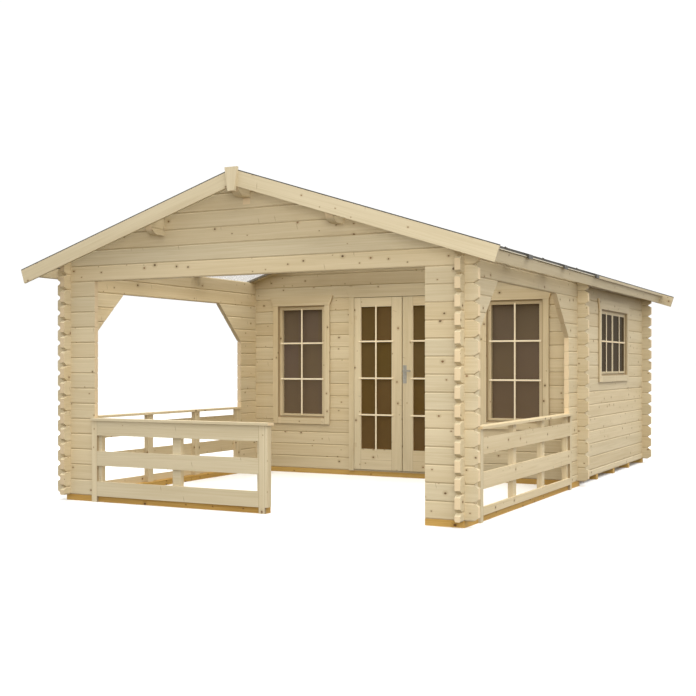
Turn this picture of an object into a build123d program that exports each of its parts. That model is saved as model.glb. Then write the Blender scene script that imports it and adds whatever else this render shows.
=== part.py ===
from build123d import *
import os
from math import cos, radians, sin, tan

# Plan of the house, measured over the outer faces of the log walls.
house_w = 3650.0
house_l = 5916.0
veranda_d = 3000.0

# Logs: front, middle and rear walls start with a whole log, side walls with half a log.
log_h = 130.0
log_t = 44.0
groove_h = 9.0
groove_d = 6.0
notch_share = 0.25
bevel_h = 25.0
bevel_run = 40.0
front_stub = 85.0
side_stub = 102.0
lintel_logs = 14

# Ground timbers and floor.
sill_h = 50.0
sill_w = 70.0
joist_count = 5
floor_t = 20.0

# Roof.
pitch = 17.9
plate_rise = 183.0
front_overhang = 182.0
rear_overhang = 140.0
board_t = 18.0
felt_t = 5.0
sheet_t = 10.0
roof_edge_x = 2015.0
barge_end_x = 2155.0
barge_w = 116.0
barge_t = 20.0
barge_proud = 13.5
eave_board_x = 2008.0
eave_board_w = 92.0
eave_board_t = 20.0
eave_chamfer = 10.0
purlin_w = 66.0
ridge_purlin_h = 220.0
side_purlin_h = 160.0
side_purlin_x = 824.0
nose_run = 115.0
nose_rise = 80.0
arc_share = 1 - cos(radians(45))
purlin_foot_h = 48.0
block_top_w = 113.0
block_foot_w = 63.0
block_h = 184.0
block_t = 25.0
block_rise = 14.0

# Glazed roof over the veranda; the boarding reaches a little in front of the room.
boarding_reach = 90.0
bar_pitch = 990.0
bar_w = 100.0
bar_t = 15.0
bar_nose = 20.0
bar_drop = 8.0
bar_lap = 10.0
edge_strip_w = 40.0
edge_strip_t = 3.0
barge_strip_t = 8.0
ridge_strip_w = 90.0
ridge_strip_t = 6.0

# Front wall of the veranda and its two side openings.
front_leg_w = 305.0
side_leg_d = 305.0
brace_run = 410.0
brace_logs = 3

# Railings.
rail_h = 638.0
rail_cap_t = 20.0
rail_cap_lip = 15.0
rail_board_h = 124.0
rail_board_t = 20.0
rail_boards = 3
rail_stud_w = 80.0
batten_w = 56.0
batten_lap_share = 0.25
front_rail_end = 180.0
side_rail_bays = 3

# Door.
leaf_w = 547.0
leaf_t = 40.0
leaf_gap = 5.0
hinge_stile = 78.0
lock_stile = 115.0
top_rail = 96.0
bottom_rail = 214.0
threshold_t = 14.0
jamb_w = 40.0
frame_d = 64.0
stop_w = 17.0
casing_w = 60.0
casing_t = 20.0
head_casing_h = 76.0
head_slant = 40.0
glass_t = 4.0
hinge_r = 6.0
hinge_h = 90.0
hinge_gap = 0.3
hinge_plate_w = 34.0
hinge_plate_t = 2.0
hinge_inset = 230.0
plate_w = 40.0
plate_h = 186.0
plate_t = 3.0
plate_z = 922.0
lever_z = 1050.0
lever_l = 75.0
lever_r = 9.0
lever_reach = 45.0
rod_sides = 12

# Windows: two beside the door, one double window in the right wall.
window_w = 601.0
window_h = 1231.0
window_drop = 59.0
window_x = 1199.0
window_sashes = 1
side_window_w = 1194.0
side_window_h = 708.0
side_window_drop = 124.0
side_window_share = 0.493
side_window_sashes = 2
casing_lap = 12.0
sill_casing_h = 65.0
window_head_h = 104.0
window_frame_w = 24.0
window_frame_d = 60.0
sash_w = 30.0
sash_back = 10.0
sash_t = 50.0
sash_gap_h = 9.0
sash_gap_d = 24.0
pane_back = 8.0

# Derived places.
slope = tan(radians(pitch))
lean = radians(pitch)
half_w = house_w / 2
inner_w = half_w - log_t
stub_x = half_w + side_stub
front_reach = front_overhang + barge_t + block_t
rear_reach = rear_overhang + barge_t + block_t
front_y = front_reach - (front_reach + house_l + rear_reach) / 2
room_y = front_y + veranda_d
rear_y = front_y + house_l
base = sill_h
lintel_z = base + lintel_logs * log_h
header_z = lintel_z - log_h / 2
wall_z = lintel_z + plate_rise
apex_z = wall_z + slope * half_w
sheet_v = sheet_t / cos(lean)
edge_strip_v = edge_strip_t / cos(lean)
barge_strip_v = barge_strip_t / cos(lean)
barge_lift = sheet_v + barge_proud
board_v = board_t / cos(lean)
felt_v = felt_t / cos(lean)
roof_front = front_y - front_overhang
roof_rear = rear_y + rear_overhang
glazed_y = room_y - boarding_reach
bar_count = int((glazed_y - roof_front) / bar_pitch)
log_count = int((apex_z - base) / log_h) + 1
whole_joints = [base + k * log_h for k in range(log_count + 1)]
half_joints = [base + log_h / 2 + k * log_h for k in range(log_count)]
door_half = leaf_gap + leaf_w + leaf_gap
door_hole = door_half + jamb_w
head_z = lintel_z
leaf_top = head_z - leaf_gap
leaf_foot = base + threshold_t + leaf_gap
leg_x = half_w - front_leg_w
cap_z = base + rail_h
quarter_log = log_h * notch_share
side_window_y = room_y + (rear_y - room_y) * side_window_share


def under_roof(x):
    """Height of the roof's underside at a distance from the ridge."""
    return apex_z - slope * abs(x)


def block(x0, x1, y0, y1, z0, z1):
    """Box between six planes."""
    corner = (Align.MIN, Align.MIN, Align.MIN)
    return Pos(x0, y0, z0) * Box(x1 - x0, y1 - y0, z1 - z0, align=corner)


def spread(a, b):
    """Two values in rising order."""
    return (a, b) if a < b else (b, a)


def along_y(points, y0, y1):
    """Outline in X and Z drawn out along Y."""
    wire = Polyline([(x, y0, z) for x, z in points], close=True)
    return extrude(make_face(wire), amount=y1 - y0, dir=(0, 1, 0))


def along_x(points, x0, x1):
    """Outline in Y and Z drawn out along X."""
    wire = Polyline([(x0, y, z) for y, z in points], close=True)
    return extrude(make_face(wire), amount=x1 - x0, dir=(1, 0, 0))


def face_points(d, inward, z0, z1, joints):
    """Points up one face of a stack of logs, with a groove at every joint."""
    deep = d + inward * groove_d
    points = [(deep, z0), (d, z0 + groove_h)]
    for z in joints:
        if z0 + quarter_log < z < z1 - quarter_log:
            points += [(d, z - groove_h), (deep, z), (d, z + groove_h)]
    return points + [(d, z1 - groove_h), (deep, z1)]


def log_outline(d0, d1, z0, z1, joints):
    """Section of a stack of logs with grooves on both faces."""
    return face_points(d0, 1, z0, z1, joints) + face_points(d1, -1, z0, z1, joints)[::-1]


def whole_stack(x0, x1, y0, z0, z1):
    """Logs of a wall that runs along X."""
    return along_x(log_outline(y0, y0 + log_t, z0, z1, whole_joints), x0, x1)


def half_stack(x0, y0, y1, z0, z1):
    """Logs of a side wall, which start half a log higher."""
    return along_y(log_outline(x0, x0 + log_t, z0, z1, half_joints), y0, y1)


def notches(x0, y0, joints):
    """Cuts of a quarter of a log above and below every joint, as wide as the logs."""
    x1, y1 = x0 + log_t, y0 + log_t
    return [block(x0, x1, y0, y1, z - quarter_log, z + quarter_log) for z in joints]


def whole_notches(x0, y0):
    """Notches of a wall along X where a side wall crosses."""
    return notches(x0, y0, whole_joints)


def half_notches(x0, y0):
    """Notches of a side wall where another wall crosses."""
    return notches(x0, y0, half_joints)


def whole_bevels(x, side, y0):
    """Bevelled log ends of a wall that runs along X."""
    cuts = []
    for z in whole_joints:
        tip = [(x, z - bevel_h), (x, z + bevel_h), (x - side * bevel_run, z)]
        cuts.append(along_y(tip, y0, y0 + log_t))
    return cuts


def half_bevels(y, side, x0):
    """Bevelled log ends of a side wall."""
    cuts = []
    for z in half_joints:
        tip = [(y, z - bevel_h), (y, z + bevel_h), (y - side * bevel_run, z)]
        cuts.append(along_x(tip, x0, x0 + log_t))
    return cuts


def roof_space(y0, y1):
    """Everything below the roof's underside."""
    edge = [(-barge_end_x, 0), (barge_end_x, 0), (barge_end_x, under_roof(barge_end_x))]
    edge += [(0, apex_z), (-barge_end_x, under_roof(barge_end_x))]
    return along_y(edge, y0, y1)


def purlin_holes(y0):
    """Holes for the three purlins in a gable wall."""
    y1 = y0 + log_t
    top = apex_z + log_h
    holes = [block(-purlin_w / 2, purlin_w / 2, y0, y1, apex_z - ridge_purlin_h, top)]
    foot = under_roof(side_purlin_x) - side_purlin_h
    for x in (-side_purlin_x, side_purlin_x):
        holes.append(block(x - purlin_w / 2, x + purlin_w / 2, y0, y1, foot, top))
    return holes


def cross_wall_cuts(y0):
    """Corner notches and bevelled ends on both ends of a wall along X."""
    cuts = whole_notches(-half_w, y0) + whole_notches(inner_w, y0)
    return cuts + whole_bevels(-stub_x, -1, y0) + whole_bevels(stub_x, 1, y0)


def front_leg(side):
    """Short front wall beside the wide opening."""
    x0, x1 = spread(side * leg_x, side * stub_x)
    return whole_stack(x0, x1, front_y, base, lintel_z) - cross_wall_cuts(front_y)


def full_stack(y0, z0):
    """Logs of a wall along X over the whole width, higher than the roof."""
    return whole_stack(-stub_x, stub_x, y0, z0, apex_z + log_h)


def gable(logs, y0):
    """Wall along X cut to the roof, with its corners and purlin holes."""
    logs = logs & roof_space(y0, y0 + log_t)
    return logs - cross_wall_cuts(y0) - purlin_holes(y0)


def flush_face(x0, x1, y, z0, z1):
    """Filling that makes the room's side of a wall along X flush."""
    return block(x0, x1, y, y + groove_d, z0, z1)


def front_gable():
    """Gable over the veranda's front."""
    return gable(full_stack(front_y, lintel_z), front_y)


def window_hole(x):
    """Room for a window beside the door."""
    top = lintel_z - window_drop
    return block(x - window_w / 2, x + window_w / 2, room_y, room_y + log_t, top - window_h, top)


def room_front_side(side):
    """Wall beside the door, with its window opening."""
    x0, x1 = spread(side * door_hole, side * stub_x)
    f0, f1 = spread(side * door_hole, side * inner_w)
    logs = whole_stack(x0, x1, room_y, base, lintel_z)
    logs = logs + flush_face(f0, f1, room_y + log_t - groove_d, base, lintel_z)
    return logs - cross_wall_cuts(room_y) - window_hole(side * window_x)


def room_front_gable():
    """Gable over the door, cut for the door frame's head."""
    inner = flush_face(-inner_w, inner_w, room_y + log_t - groove_d, lintel_z, apex_z)
    hole = block(-door_hole, door_hole, room_y, room_y + log_t, base, head_z + jamb_w)
    return gable(full_stack(room_y, lintel_z) + inner, room_y) - hole


def rear_wall():
    """Whole rear wall with its gable."""
    y0 = rear_y - log_t
    return gable(full_stack(y0, base) + flush_face(-inner_w, inner_w, y0, base, apex_z), y0)


def side_cuts(x0):
    """Notches where three cross walls pass, and both bevelled ends."""
    cuts = half_notches(x0, front_y) + half_notches(x0, room_y) + half_notches(x0, rear_y - log_t)
    cuts += half_bevels(front_y - front_stub, -1, x0)
    return cuts + half_bevels(rear_y + front_stub, 1, x0)


def wall_x(side):
    """Lower limit in X of a side wall."""
    return -half_w if side < 0 else inner_w


def room_lining(side, z0, z1):
    """Filling that makes the room's side of a side wall flush."""
    x0, x1 = spread(side * inner_w, side * (inner_w + groove_d))
    return block(x0, x1, room_y + log_t, rear_y - log_t, z0, z1)


def brace_cut(side, y, turn):
    """Space below the slanted corner of a side opening, from the leg's edge."""
    foot = header_z - brace_logs * log_h
    far = y + turn * brace_run
    shape = [(y, 0), (far, 0), (far, header_z), (y, foot)]
    return along_x(shape, wall_x(side), wall_x(side) + log_t)


def side_leg(side):
    """Front leg of a side wall with the slanted corner at its top."""
    edge = front_y + side_leg_d
    logs = half_stack(wall_x(side), front_y - front_stub, edge + brace_run, base, header_z)
    return logs - brace_cut(side, edge, 1) - side_cuts(wall_x(side))


def side_room_wall(side):
    """Room's side wall with the slanted corner in front of it."""
    edge = room_y - side_leg_d
    logs = half_stack(wall_x(side), edge - brace_run, rear_y + front_stub, base, header_z)
    logs = logs + room_lining(side, base, header_z)
    logs = logs - brace_cut(side, edge, -1) - side_cuts(wall_x(side))
    if side > 0:
        top = lintel_z - side_window_drop
        y0, y1 = side_window_y - side_window_w / 2, side_window_y + side_window_w / 2
        logs = logs - block(inner_w, half_w, y0, y1, top - side_window_h, top)
    return logs


def side_plate(side):
    """Top logs of a side wall, running the whole length under the roof."""
    y0, y1 = front_y - front_stub, rear_y + front_stub
    logs = half_stack(wall_x(side), y0, y1, header_z, wall_z + log_h)
    logs = logs + room_lining(side, header_z, wall_z + log_h)
    return (logs & roof_space(y0, y1)) - side_cuts(wall_x(side))


def veranda_sills():
    """Ground timbers under both parts of the front wall and both sides of the veranda."""
    y0 = front_y + sill_w
    inner = half_w - sill_w
    sills = [block(-half_w, front_rail_end, front_y, y0, 0, base)]
    sills.append(block(leg_x, half_w, front_y, y0, 0, base))
    sills.append(block(-half_w, -inner, y0, room_y, 0, base))
    sills.append(block(inner, half_w, y0, room_y, 0, base))
    return Compound(sills)


def floor_joists():
    """Timbers across the room; the walls stand on their ends."""
    step = (house_l - veranda_d - sill_w) / (joist_count - 1)
    places = [room_y + k * step for k in range(joist_count)]
    return Compound([block(-half_w, half_w, y, y + sill_w, 0, base) for y in places])


def room_floor():
    """Floor of the room between its four walls."""
    y0, y1 = room_y + frame_d, rear_y - log_t
    floor = block(-inner_w, inner_w, room_y + log_t, y1, base, base + floor_t)
    return floor - block(-door_hole, door_hole, room_y, y0, base, base + floor_t)


def nosed_beam(x0, x1, foot):
    """Beam over the whole length whose lower corners are rounded upwards, as high as the ridge."""
    y0, y1, high = roof_front, roof_rear, foot + nose_rise
    in_y, in_z = nose_run * arc_share, high - nose_rise * (1 - arc_share)
    side = Line((x0, y0, apex_z), (x0, y0, high))
    side += ThreePointArc((x0, y0, high), (x0, y0 + in_y, in_z), (x0, y0 + nose_run, foot))
    side += Line((x0, y0 + nose_run, foot), (x0, y1 - nose_run, foot))
    side += ThreePointArc((x0, y1 - nose_run, foot), (x0, y1 - in_y, in_z), (x0, y1, high))
    side += Polyline((x0, y1, high), (x0, y1, apex_z), (x0, y0, apex_z))
    return extrude(make_face(side), amount=x1 - x0, dir=(1, 0, 0))


def seamed(beam, x0, x1, seam):
    """Beam planed to the roof's slope, with a groove along the seam of its two timbers."""
    beam = beam & roof_space(roof_front, roof_rear)
    for edge, deep in ((x0, x0 + groove_d), (x1, x1 - groove_d)):
        shape = [(edge, seam - groove_h), (deep, seam), (edge, seam + groove_h)]
        beam = beam - along_y(shape, roof_front, roof_rear)
    return beam


def ridge_purlin():
    """Ridge purlin: the lower timber stops at the gables' outer faces."""
    x0, x1 = -purlin_w / 2, purlin_w / 2
    foot = apex_z - ridge_purlin_h
    seam = foot + purlin_foot_h
    beam = nosed_beam(x0, x1, seam) + block(x0, x1, front_y, rear_y, foot, seam)
    return seamed(beam, x0, x1, seam)


def side_purlin(x):
    """Purlin half-way down a slope; both timbers reach out to the bargeboards."""
    x0, x1 = x - purlin_w / 2, x + purlin_w / 2
    foot = under_roof(x) - side_purlin_h
    return seamed(nosed_beam(x0, x1, foot), x0, x1, foot + purlin_foot_h)


def side_purlins():
    """Purlins half-way down both slopes."""
    return Compound([side_purlin(x) for x in (-side_purlin_x, side_purlin_x)])


def roof_layer(side, lift, thick, x0, x1, y0, y1):
    """Sloping layer at a height above the roof's underside, in vertical measure."""
    low, high = under_roof(x1) + lift, under_roof(x0) + lift
    shape = [(side * x0, high), (side * x1, low)]
    shape += [(side * x1, low + thick), (side * x0, high + thick)]
    return along_y(shape, y0, y1)


def roof_boards(side):
    """Boarding over the room."""
    return roof_layer(side, 0, board_v, 0, roof_edge_x, glazed_y, roof_rear)


def felt_slope(side):
    """Felt of one slope, turned down over the boards' lower edge."""
    felt_x = roof_edge_x + felt_t
    felt = roof_layer(side, board_v, felt_v, 0, felt_x, glazed_y, roof_rear)
    felt += roof_layer(side, board_v, barge_strip_v, 0, barge_end_x, roof_rear, roof_rear + barge_t)
    return felt + roof_layer(side, 0, board_v, roof_edge_x, felt_x, glazed_y, roof_rear)


def roof_felt():
    """Felt over the room's boarding, the ridge and the rear bargeboards."""
    return felt_slope(-1) + felt_slope(1)


def glazing(side):
    """Clear sheets over the veranda."""
    return roof_layer(side, 0, sheet_v, 0, roof_edge_x, roof_front, glazed_y)


def bar_end(side, top, y0, y1):
    """End of a bar, turned down in front of the sheets' edge strip."""
    x0, x1 = roof_edge_x + edge_strip_t, roof_edge_x + bar_nose
    return roof_layer(side, -bar_drop, bar_drop + top, x0, x1, y0, y1)


def sheet_bar(side, y1):
    """Bar over the joint of two sheets."""
    y0, bar_v = y1 - bar_w, bar_t / cos(lean)
    bar = roof_layer(side, sheet_v, bar_v, 0, roof_edge_x + bar_nose, y0, y1)
    return bar + bar_end(side, sheet_v + bar_v, y0, y1)


def joint_strip(side):
    """Strip over the joint of the sheets and the felt."""
    end, over = roof_edge_x + bar_nose, board_v + felt_v
    lap_y, top = glazed_y - bar_lap, over + edge_strip_v
    strip = roof_layer(side, sheet_v, top - sheet_v, 0, end, lap_y, glazed_y)
    strip += bar_end(side, top, lap_y, glazed_y)
    return strip + roof_layer(side, over, edge_strip_v, 0, end, glazed_y, lap_y + bar_w)


def edge_strips(side):
    """Strips on the front bargeboard and on the front and lower edges of the sheets."""
    front, lip_x = roof_front + edge_strip_w, roof_edge_x + edge_strip_t
    inner_x, back = roof_edge_x - edge_strip_w, roof_front + barge_strip_t
    strip_top = barge_lift + barge_strip_v
    shape = roof_layer(side, barge_lift, barge_strip_v, 0, barge_end_x, roof_front - barge_t, roof_front)
    shape += roof_layer(side, sheet_v, strip_top - sheet_v, 0, roof_edge_x, roof_front, back)
    shape += roof_layer(side, sheet_v, edge_strip_v, 0, roof_edge_x, back, front)
    shape += roof_layer(side, sheet_v, edge_strip_v, inner_x, roof_edge_x, front, glazed_y - bar_lap)
    return shape + roof_layer(side, 0, sheet_v + edge_strip_v, roof_edge_x, lip_x, roof_front, glazed_y)


def slope_bars(side):
    """Dark strips of one slope: its edges, half of the ridge and the sheets' joints."""
    shape = edge_strips(side)
    front, back = roof_front + edge_strip_w, glazed_y - bar_lap
    shape += roof_layer(side, sheet_v, ridge_strip_t, 0, ridge_strip_w, front, back)
    for k in range(1, bar_count):
        shape += sheet_bar(side, glazed_y - k * bar_pitch)
    return shape + joint_strip(side)


def glazing_bars():
    """Strips of both slopes, joined at the ridge."""
    return slope_bars(-1) + slope_bars(1)


def bargeboard(side, lift, y0):
    """Board along a gable's slope, squared off at its lower end."""
    top = apex_z + lift
    end_z = top - slope * barge_end_x
    shape = [(0, top), (barge_end_x, end_z)]
    shape += [(barge_end_x - barge_w * sin(lean), end_z - barge_w * cos(lean))]
    shape += [(0, top - barge_w / cos(lean))]
    return along_y([(side * x, z) for x, z in shape], y0, y0 + barge_t)


def ridge_blocks():
    """Blocks over the joints of the front and rear bargeboards."""
    front = ridge_block(roof_front - barge_t - block_t, barge_lift)
    return Compound([front, ridge_block(roof_rear + barge_t, board_v)])


def ridge_block(y0, lift):
    """Tapered block over the joint of two bargeboards."""
    top = apex_z + lift + block_rise
    foot = top - block_h
    shape = [(-block_top_w / 2, top), (block_top_w / 2, top)]
    shape += [(block_foot_w / 2, foot), (-block_foot_w / 2, foot)]
    return along_y(shape, y0, y0 + block_t)


def eave_board(side):
    """Board square to the roof under its lower edge, with a chamfer along its top."""
    x1, z1 = eave_board_x, under_roof(eave_board_x)
    x0 = x1 - eave_board_t * cos(lean)
    z0 = z1 + eave_board_t * sin(lean)
    drop_x, drop_z = eave_board_w * sin(lean), eave_board_w * cos(lean)
    cut_x, cut_z = eave_chamfer * cos(lean), eave_chamfer * sin(lean)
    shape = [(x0, z0), (x1 - cut_x, z1 + cut_z), (x1 - cut_z, z1 - cut_x)]
    shape += [(x1 - drop_x, z1 - drop_z), (x0 - drop_x, z0 - drop_z)]
    return along_y([(side * x, z) for x, z in shape], roof_front, roof_rear)


def eave_boards():
    """Eave boards of both slopes."""
    return Compound([eave_board(-1), eave_board(1)])


def trapeze_head(half, z0, height, y0, y1):
    """Head casing with ends that lean outwards."""
    wide = half + head_slant
    shape = [(-half, z0), (half, z0), (wide, z0 + height), (-wide, z0 + height)]
    return along_y(shape, y0, y1)


def window_frame(width, height, sashes):
    """Frame, fixed sashes over a drip gap, and outer casing; the wall's face is at zero depth."""
    half = width / 2
    frame = block(-half, half, 0, window_frame_d, 0, height)
    clear = half - window_frame_w
    frame = frame - block(-clear, clear, 0, window_frame_d, window_frame_w, height - window_frame_w)
    rim = block(-clear, clear, sash_back, sash_back + sash_t, window_frame_w, height - window_frame_w)
    for x0, x1, z0, z1 in pane_places(width, height, sashes):
        rim = rim - block(x0, x1, sash_back, sash_back + sash_t, z0, z1)
    gap_back, gap_top = sash_back + sash_gap_d, window_frame_w + sash_gap_h
    rim = rim - block(-clear, clear, sash_back, gap_back, window_frame_w, gap_top)
    return frame + rim + window_casing(half - casing_lap, height)


def window_casing(half, height):
    """Boards on the wall's face that lap over the frame's edge."""
    out = half + casing_w
    foot, top = casing_lap - sill_casing_h, height - casing_lap
    casing = block(-out, -half, -casing_t, 0, foot, top)
    casing += block(half, out, -casing_t, 0, foot, top)
    casing += block(-half, half, -casing_t, 0, foot, casing_lap)
    return casing + trapeze_head(out, top, window_head_h, -casing_t, 0)


def pane_places(width, height, sashes):
    """Clear openings of the sashes."""
    clear = width - window_frame_w * 2
    each = clear / sashes
    low, high = window_frame_w + sash_w, height - window_frame_w - sash_w
    places = []
    for k in range(sashes):
        x0 = k * each - clear / 2
        places.append((x0 + sash_w, x0 + each - sash_w, low, high))
    return places


def window_panes(width, height, sashes):
    """Panes that fill the sashes of one window."""
    outer = sash_back + sash_t - pane_back - glass_t
    panes = pane_places(width, height, sashes)
    return [block(x0, x1, outer, outer + glass_t, z0, z1) for x0, x1, z0, z1 in panes]


def door_frame():
    """Jambs, head, stops, threshold and outer casing of the doorway."""
    y0, y1 = room_y, room_y + frame_d
    top = head_z + jamb_w
    frame = block(-door_hole, door_hole, y0, y1, base, top)
    frame = frame - block(-door_half, door_half, y0, y1, base + threshold_t, head_z)
    stop_y = room_y - casing_t + leaf_t + leaf_gap
    stop = block(-door_half, door_half, stop_y, y1, base + threshold_t, head_z)
    inner = door_half - stop_w
    stop = stop - block(-inner, inner, stop_y, y1, base + threshold_t, head_z - stop_w)
    out = door_half + casing_w
    casing = block(-out, -door_half, y0 - casing_t, y0, base, head_z)
    casing += block(door_half, out, y0 - casing_t, y0, base, head_z)
    casing += trapeze_head(out, head_z, head_casing_h, y0 - casing_t, y0)
    return frame + stop + casing


def leaf_limits(side):
    """Both edges of a leaf and of its glass in X, from the lock side outwards."""
    edges = (leaf_gap, leaf_gap + lock_stile, leaf_gap + leaf_w - hinge_stile, leaf_gap + leaf_w)
    return [side * x for x in edges]


def door_leaf(side):
    """Framed leaf, open where its glass sits."""
    lock, glass_a, glass_b, hinge = leaf_limits(side)
    y0 = room_y - casing_t
    x0, x1 = spread(lock, hinge)
    g0, g1 = spread(glass_a, glass_b)
    leaf = block(x0, x1, y0, y0 + leaf_t, leaf_foot, leaf_top)
    return leaf - block(g0, g1, y0, y0 + leaf_t, leaf_foot + bottom_rail, leaf_top - top_rail)


def door_glass(side):
    """Pane of a leaf."""
    g0, g1 = spread(*leaf_limits(side)[1:3])
    y0 = room_y - casing_t + (leaf_t - glass_t) / 2
    return block(g0, g1, y0, y0 + glass_t, leaf_foot + bottom_rail, leaf_top - top_rail)


def rod(radius, length):
    """Round bar along Z from its foot, of a few flats."""
    return extrude(RegularPolygon(radius, rod_sides), amount=length)


def hinge_places():
    """Middle heights of a leaf's hinges."""
    return (leaf_foot + hinge_inset, leaf_top - hinge_inset)


def hinge_half(side, z, inward):
    """Knuckle and plate of one half of a hinge: inward is on the leaf, above the frame's."""
    axis_x = side * (leaf_gap + leaf_w + leaf_gap / 2)
    axis_y = room_y - casing_t - hinge_r
    long = (hinge_h - hinge_gap) / 2
    z0 = z + hinge_gap / 2 if inward else z - hinge_gap / 2 - long
    knuckle = Pos(axis_x, axis_y, z0) * rod(hinge_r, long)
    reach = -side * hinge_plate_w if inward else side * hinge_plate_w
    x0, x1 = spread(axis_x, axis_x + reach)
    face = room_y - casing_t
    return knuckle + block(x0, x1, face - hinge_plate_t, face, z0, z0 + long)


def frame_hinges():
    """Lower hinge halves, on the casing."""
    return Compound([hinge_half(side, z, False) for side in (-1, 1) for z in hinge_places()])


def leaf_hinges(side):
    """Upper hinge halves, on a leaf."""
    return Compound([hinge_half(side, z, True) for z in hinge_places()])


def handle_side(turn, face):
    """Plate and lever on one face of the right leaf; turn is the way out of the face."""
    x0 = leaf_gap + leaf_gap
    y0, y1 = spread(face, face + turn * plate_t)
    plate = block(x0, x0 + plate_w, y0, y1, base + plate_z, base + plate_z + plate_h)
    x, z = x0 + plate_w / 2, base + lever_z
    neck = Pos(x, y1 if turn > 0 else y0, z) * Rot(-turn * 90, 0, 0) * rod(lever_r, lever_reach - plate_t)
    lever = Pos(x, face + turn * (lever_reach - lever_r), z) * Rot(0, 90, 0) * rod(lever_r, lever_l)
    return plate + neck + lever


def door_handle():
    """Lever handles on both faces of the right leaf."""
    front = room_y - casing_t
    return Compound([handle_side(-1, front), handle_side(1, front + leaf_t)])


def rail_levels(first):
    """Lower and upper limit of each railing board, from the height of the lowest one."""
    gap = (rail_h - rail_boards * rail_board_h) / (rail_boards - 1)
    low, high = base, base + first
    levels = [(low, high)]
    for k in range(rail_boards - 1):
        low = high + gap
        high = low + rail_board_h
        levels.append((low, high))
    return levels


def front_railing():
    """Studs, boards, end battens and cap beside the way in."""
    x0, x1 = -leg_x, front_rail_end
    y0, y1 = front_y - rail_board_t, front_y + log_t
    middle = (x0 + x1 - rail_stud_w) / 2
    studs = (x0, middle, x1 - rail_stud_w)
    rail = block(x0, x1, y0, front_y, *rail_levels(rail_board_h)[0])
    for low, high in rail_levels(rail_board_h)[1:]:
        rail = rail + block(x0, x1, y0, front_y, low, high)
    for x in studs:
        rail = rail + block(x, x + rail_stud_w, front_y, y1, base, cap_z)
    left = x0 - batten_w * batten_lap_share
    rail = rail + block(left, left + batten_w, y0, front_y, 0, cap_z)
    rail = rail + block(x1 - batten_w, x1, y0, front_y, 0, cap_z)
    rail = rail + block(x1, x1 + rail_board_t, y0, y1, base, cap_z)
    lip = x1 + rail_board_t + rail_cap_lip
    cap = block(x0, lip, front_y, y1 + rail_cap_lip, cap_z, cap_z + rail_cap_t)
    cap += block(left, lip, y0 - rail_cap_lip, front_y, cap_z, cap_z + rail_cap_t)
    return rail + cap


def side_railing():
    """Railing of the right side, its boards outside the studs."""
    y0, y1 = front_y + side_leg_d, room_y - side_leg_d
    x0, x1 = inner_w, half_w + rail_board_t
    step = (y1 - y0 - rail_stud_w) / side_rail_bays
    rail = block(half_w, x1, y0, y1, *rail_levels(rail_board_h / 2)[0])
    for low, high in rail_levels(rail_board_h / 2)[1:]:
        rail = rail + block(half_w, x1, y0, y1, low, high)
    for k in range(side_rail_bays + 1):
        y = y0 + k * step
        rail = rail + block(x0, half_w, y, y + rail_stud_w, base, cap_z)
    lap = batten_w / 2
    for y in (y0 - lap, y1 - lap):
        rail = rail + block(half_w, x1, y, y + batten_w, 0, cap_z)
    cap = block(x0 - rail_cap_lip, half_w, y0, y1, cap_z, cap_z + rail_cap_t)
    out = x1 + rail_cap_lip
    cap += block(half_w, out, y0 - lap, y1 + lap, cap_z, cap_z + rail_cap_t)
    return rail + cap


def side_railings():
    """Railings of both sides."""
    right = side_railing()
    return Compound([mirror(right, about=Plane.YZ), right])


def room_window_place(side):
    """Place of a window beside the door."""
    return Pos(side * window_x, room_y, lintel_z - window_drop - window_h)


def side_window_place():
    """Place of the double window, facing right."""
    z = lintel_z - side_window_drop - side_window_h
    return Pos(half_w, side_window_y, z) * Rot(0, 0, 90)


def room_window_frame(side):
    """Frame of a window beside the door."""
    return room_window_place(side) * window_frame(window_w, window_h, window_sashes)


def side_window_frame():
    """Frame of the double window."""
    return side_window_place() * window_frame(side_window_w, side_window_h, side_window_sashes)


def window_glass():
    """Panes of all windows."""
    panes = [room_window_place(side) * pane for side in (-1, 1)
             for pane in window_panes(window_w, window_h, window_sashes)]
    panes += [side_window_place() * pane
              for pane in window_panes(side_window_w, side_window_h, side_window_sashes)]
    return Compound(panes)


def all_parts():
    """Every node with its shape."""
    parts = {
        "veranda_sills": veranda_sills(),
        "floor_joists": floor_joists(),
        "room_floor": room_floor(),
        "front_gable": front_gable(),
        "room_front_gable": room_front_gable(),
        "rear_wall": rear_wall(),
        "ridge_purlin": ridge_purlin(),
        "side_purlins": side_purlins(),
        "roof_felt": roof_felt(),
        "glazing_bars": glazing_bars(),
        "ridge_blocks": ridge_blocks(),
        "eave_boards": eave_boards(),
        "front_railing": front_railing(),
        "side_railings": side_railings(),
        "side_window_frame": side_window_frame(),
        "window_glass": window_glass(),
        "door_frame": door_frame(),
        "door_frame_hinges": frame_hinges(),
        "door_handle": door_handle(),
    }
    for name, side in (("left", -1), ("right", 1)):
        parts[name + "_front_leg"] = front_leg(side)
        parts[name + "_side_leg"] = side_leg(side)
        parts[name + "_room_wall"] = side_room_wall(side)
        parts[name + "_wall_plate"] = side_plate(side)
        parts[name + "_room_front"] = room_front_side(side)
        parts[name + "_roof_boards"] = roof_boards(side)
        parts[name + "_glazing"] = glazing(side)
        parts[name + "_front_bargeboard"] = bargeboard(side, barge_lift, roof_front - barge_t)
        parts[name + "_rear_bargeboard"] = bargeboard(side, board_v, roof_rear)
        parts[name + "_window_frame"] = room_window_frame(side)
        parts[name + "_door"] = door_leaf(side)
        parts[name + "_door_glass"] = door_glass(side)
        parts[name + "_door_hinges"] = leaf_hinges(side)
    return parts


os.makedirs("parts", exist_ok=True)
for node, shape in all_parts().items():
    export_step(shape, "parts/" + node + ".step")
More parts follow.
